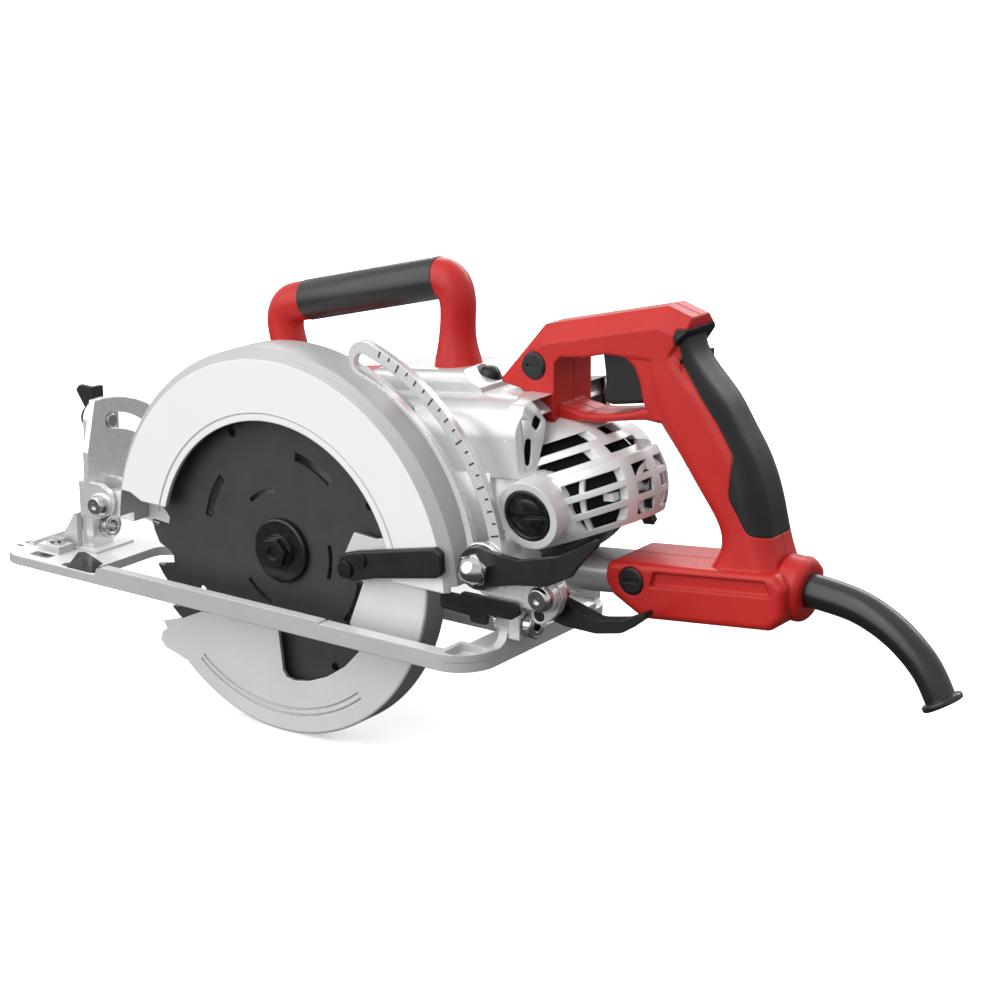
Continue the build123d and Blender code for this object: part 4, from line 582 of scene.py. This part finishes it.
# depth scale on the strap: long and short ticks on the outer band
SC, SR = (22.92, 35.75), 106.93
bm = bmesh.new()
for i in range(19):
    a = 14.0 + 3.0 * i
    ln = 4.6 if i % 4 == 0 else (3.2 if i % 2 == 0 else 2.2)
    w = 0.22
    r1 = SR + 11.0
    prism(bm, [polar(SC, r1 - ln, a - w), polar(SC, r1, a - w), polar(SC, r1, a + w), polar(SC, r1 - ln, a + w)], -3.62, -3.44)
piece("depth_scale", bm, "mark", "link")

# ------------------------------------------------------------------
# floor, light, camera
# ------------------------------------------------------------------
FLOOR_Z = CAD_BOX[0][2] - 0.0005


def floor():
    bm = bmesh.new()
    s = 6.0
    vs = [bm.verts.new((x * s, y * s, FLOOR_Z)) for x, y in ((-1, -1), (1, -1), (1, 1), (-1, 1))]
    bm.faces.new(vs)
    me = bpy.data.meshes.new("floor")
    bm.to_mesh(me)
    bm.free()
    o = bpy.data.objects.new("floor", me)
    bpy.context.scene.collection.objects.link(o)
    m = material("pale_floor", (0.95, 0.95, 0.95), (0.97, 0.97, 0.97), 0.0, 0.80, 0.04, 3.0, 300, 0.0, spec=0.2)
    bs = m.node_tree.nodes["Principled BSDF"]
    bs.inputs["Emission Color"].default_value = (1.0, 1.0, 1.0, 1.0)
    bs.inputs["Emission Strength"].default_value = 0.45
    me.materials.append(m)
    o.visible_diffuse = False
    o.visible_glossy = False


floor()


def sun(name, to_light, strength, spread):
    d = bpy.data.lights.new(name, "SUN")
    d.energy = strength
    d.angle = math.radians(spread)
    o = bpy.data.objects.new(name, d)
    bpy.context.scene.collection.objects.link(o)
    o.rotation_euler = Vector(to_light).to_track_quat("Z", "Y").to_euler()
    return o


def area(name, loc, target, size, power, size_y=None):
    d = bpy.data.lights.new(name, "AREA")
    d.energy = power
    d.shape = "RECTANGLE"
    d.size = size
    d.size_y = size_y or size
    o = bpy.data.objects.new(name, d)
    bpy.context.scene.collection.objects.link(o)
    o.location = loc
    v = Vector(target) - Vector(loc)
    o.rotation_euler = v.to_track_quat("-Z", "Y").to_euler()
    return o


sun("key", (-0.40, -0.78, 0.48), 2.0, 80)
sun("top", (0.10, 0.25, 0.95), 0.3, 70)
area("back_strip", (-0.2, 1.5, 0.95), (0.05, 0.0, 0.10), 2.4, 16.0, 0.5)
area("strip", (0.2, -1.6, 1.5), (0.05, 0.0, 0.05), 0.5, 2.5, 1.6)

w = bpy.data.worlds.new("studio")
bpy.context.scene.world = w
w.use_nodes = True
wt = w.node_tree
bgn = wt.nodes.get("Background")
wc = wt.nodes.new("ShaderNodeTexCoord")
wsep = wt.nodes.new("ShaderNodeSeparateXYZ")
wt.links.new(wc.outputs["Generated"], wsep.inputs[0])
wmap = wt.nodes.new("ShaderNodeMapRange")
wmap.inputs["From Min"].default_value = -1.0
wmap.inputs["From Max"].default_value = 1.0
wt.links.new(wsep.outputs[2], wmap.inputs["Value"])
wcol = ramp(wt, wmap.outputs[0], [(0.0, grey(0.06)), (0.34, grey(0.10)), (0.49, grey(0.50)), (0.56, grey(0.84)), (0.80, grey(0.78)), (1.0, grey(0.70))])
wt.links.new(wcol, bgn.inputs[0])
bgn.inputs[1].default_value = 0.9

A, E = math.radians(35.52), math.radians(16.22)
back = Vector((math.sin(A) * math.cos(E), -math.cos(A) * math.cos(E), math.sin(E)))
right = Vector((math.cos(A), math.sin(A), 0.0))
up = Vector((-math.sin(E) * math.sin(A), math.sin(E) * math.cos(A), math.cos(E)))
cam = bpy.data.cameras.new("camera")
cam.sensor_width = 36.0
cam.lens = 86.4
cam.clip_start = 0.05
co = bpy.data.objects.new("camera", cam)
bpy.context.scene.collection.objects.link(co)
co.matrix_world = Matrix(((right.x, up.x, back.x, 0.77349), (right.y, up.y, back.y, -0.89336), (right.z, up.z, back.z, 0.40046), (0, 0, 0, 1)))
bpy.context.scene.camera = co

sc = bpy.context.scene
sc.view_settings.view_transform = "Standard"
sc.view_settings.exposure = 0.0
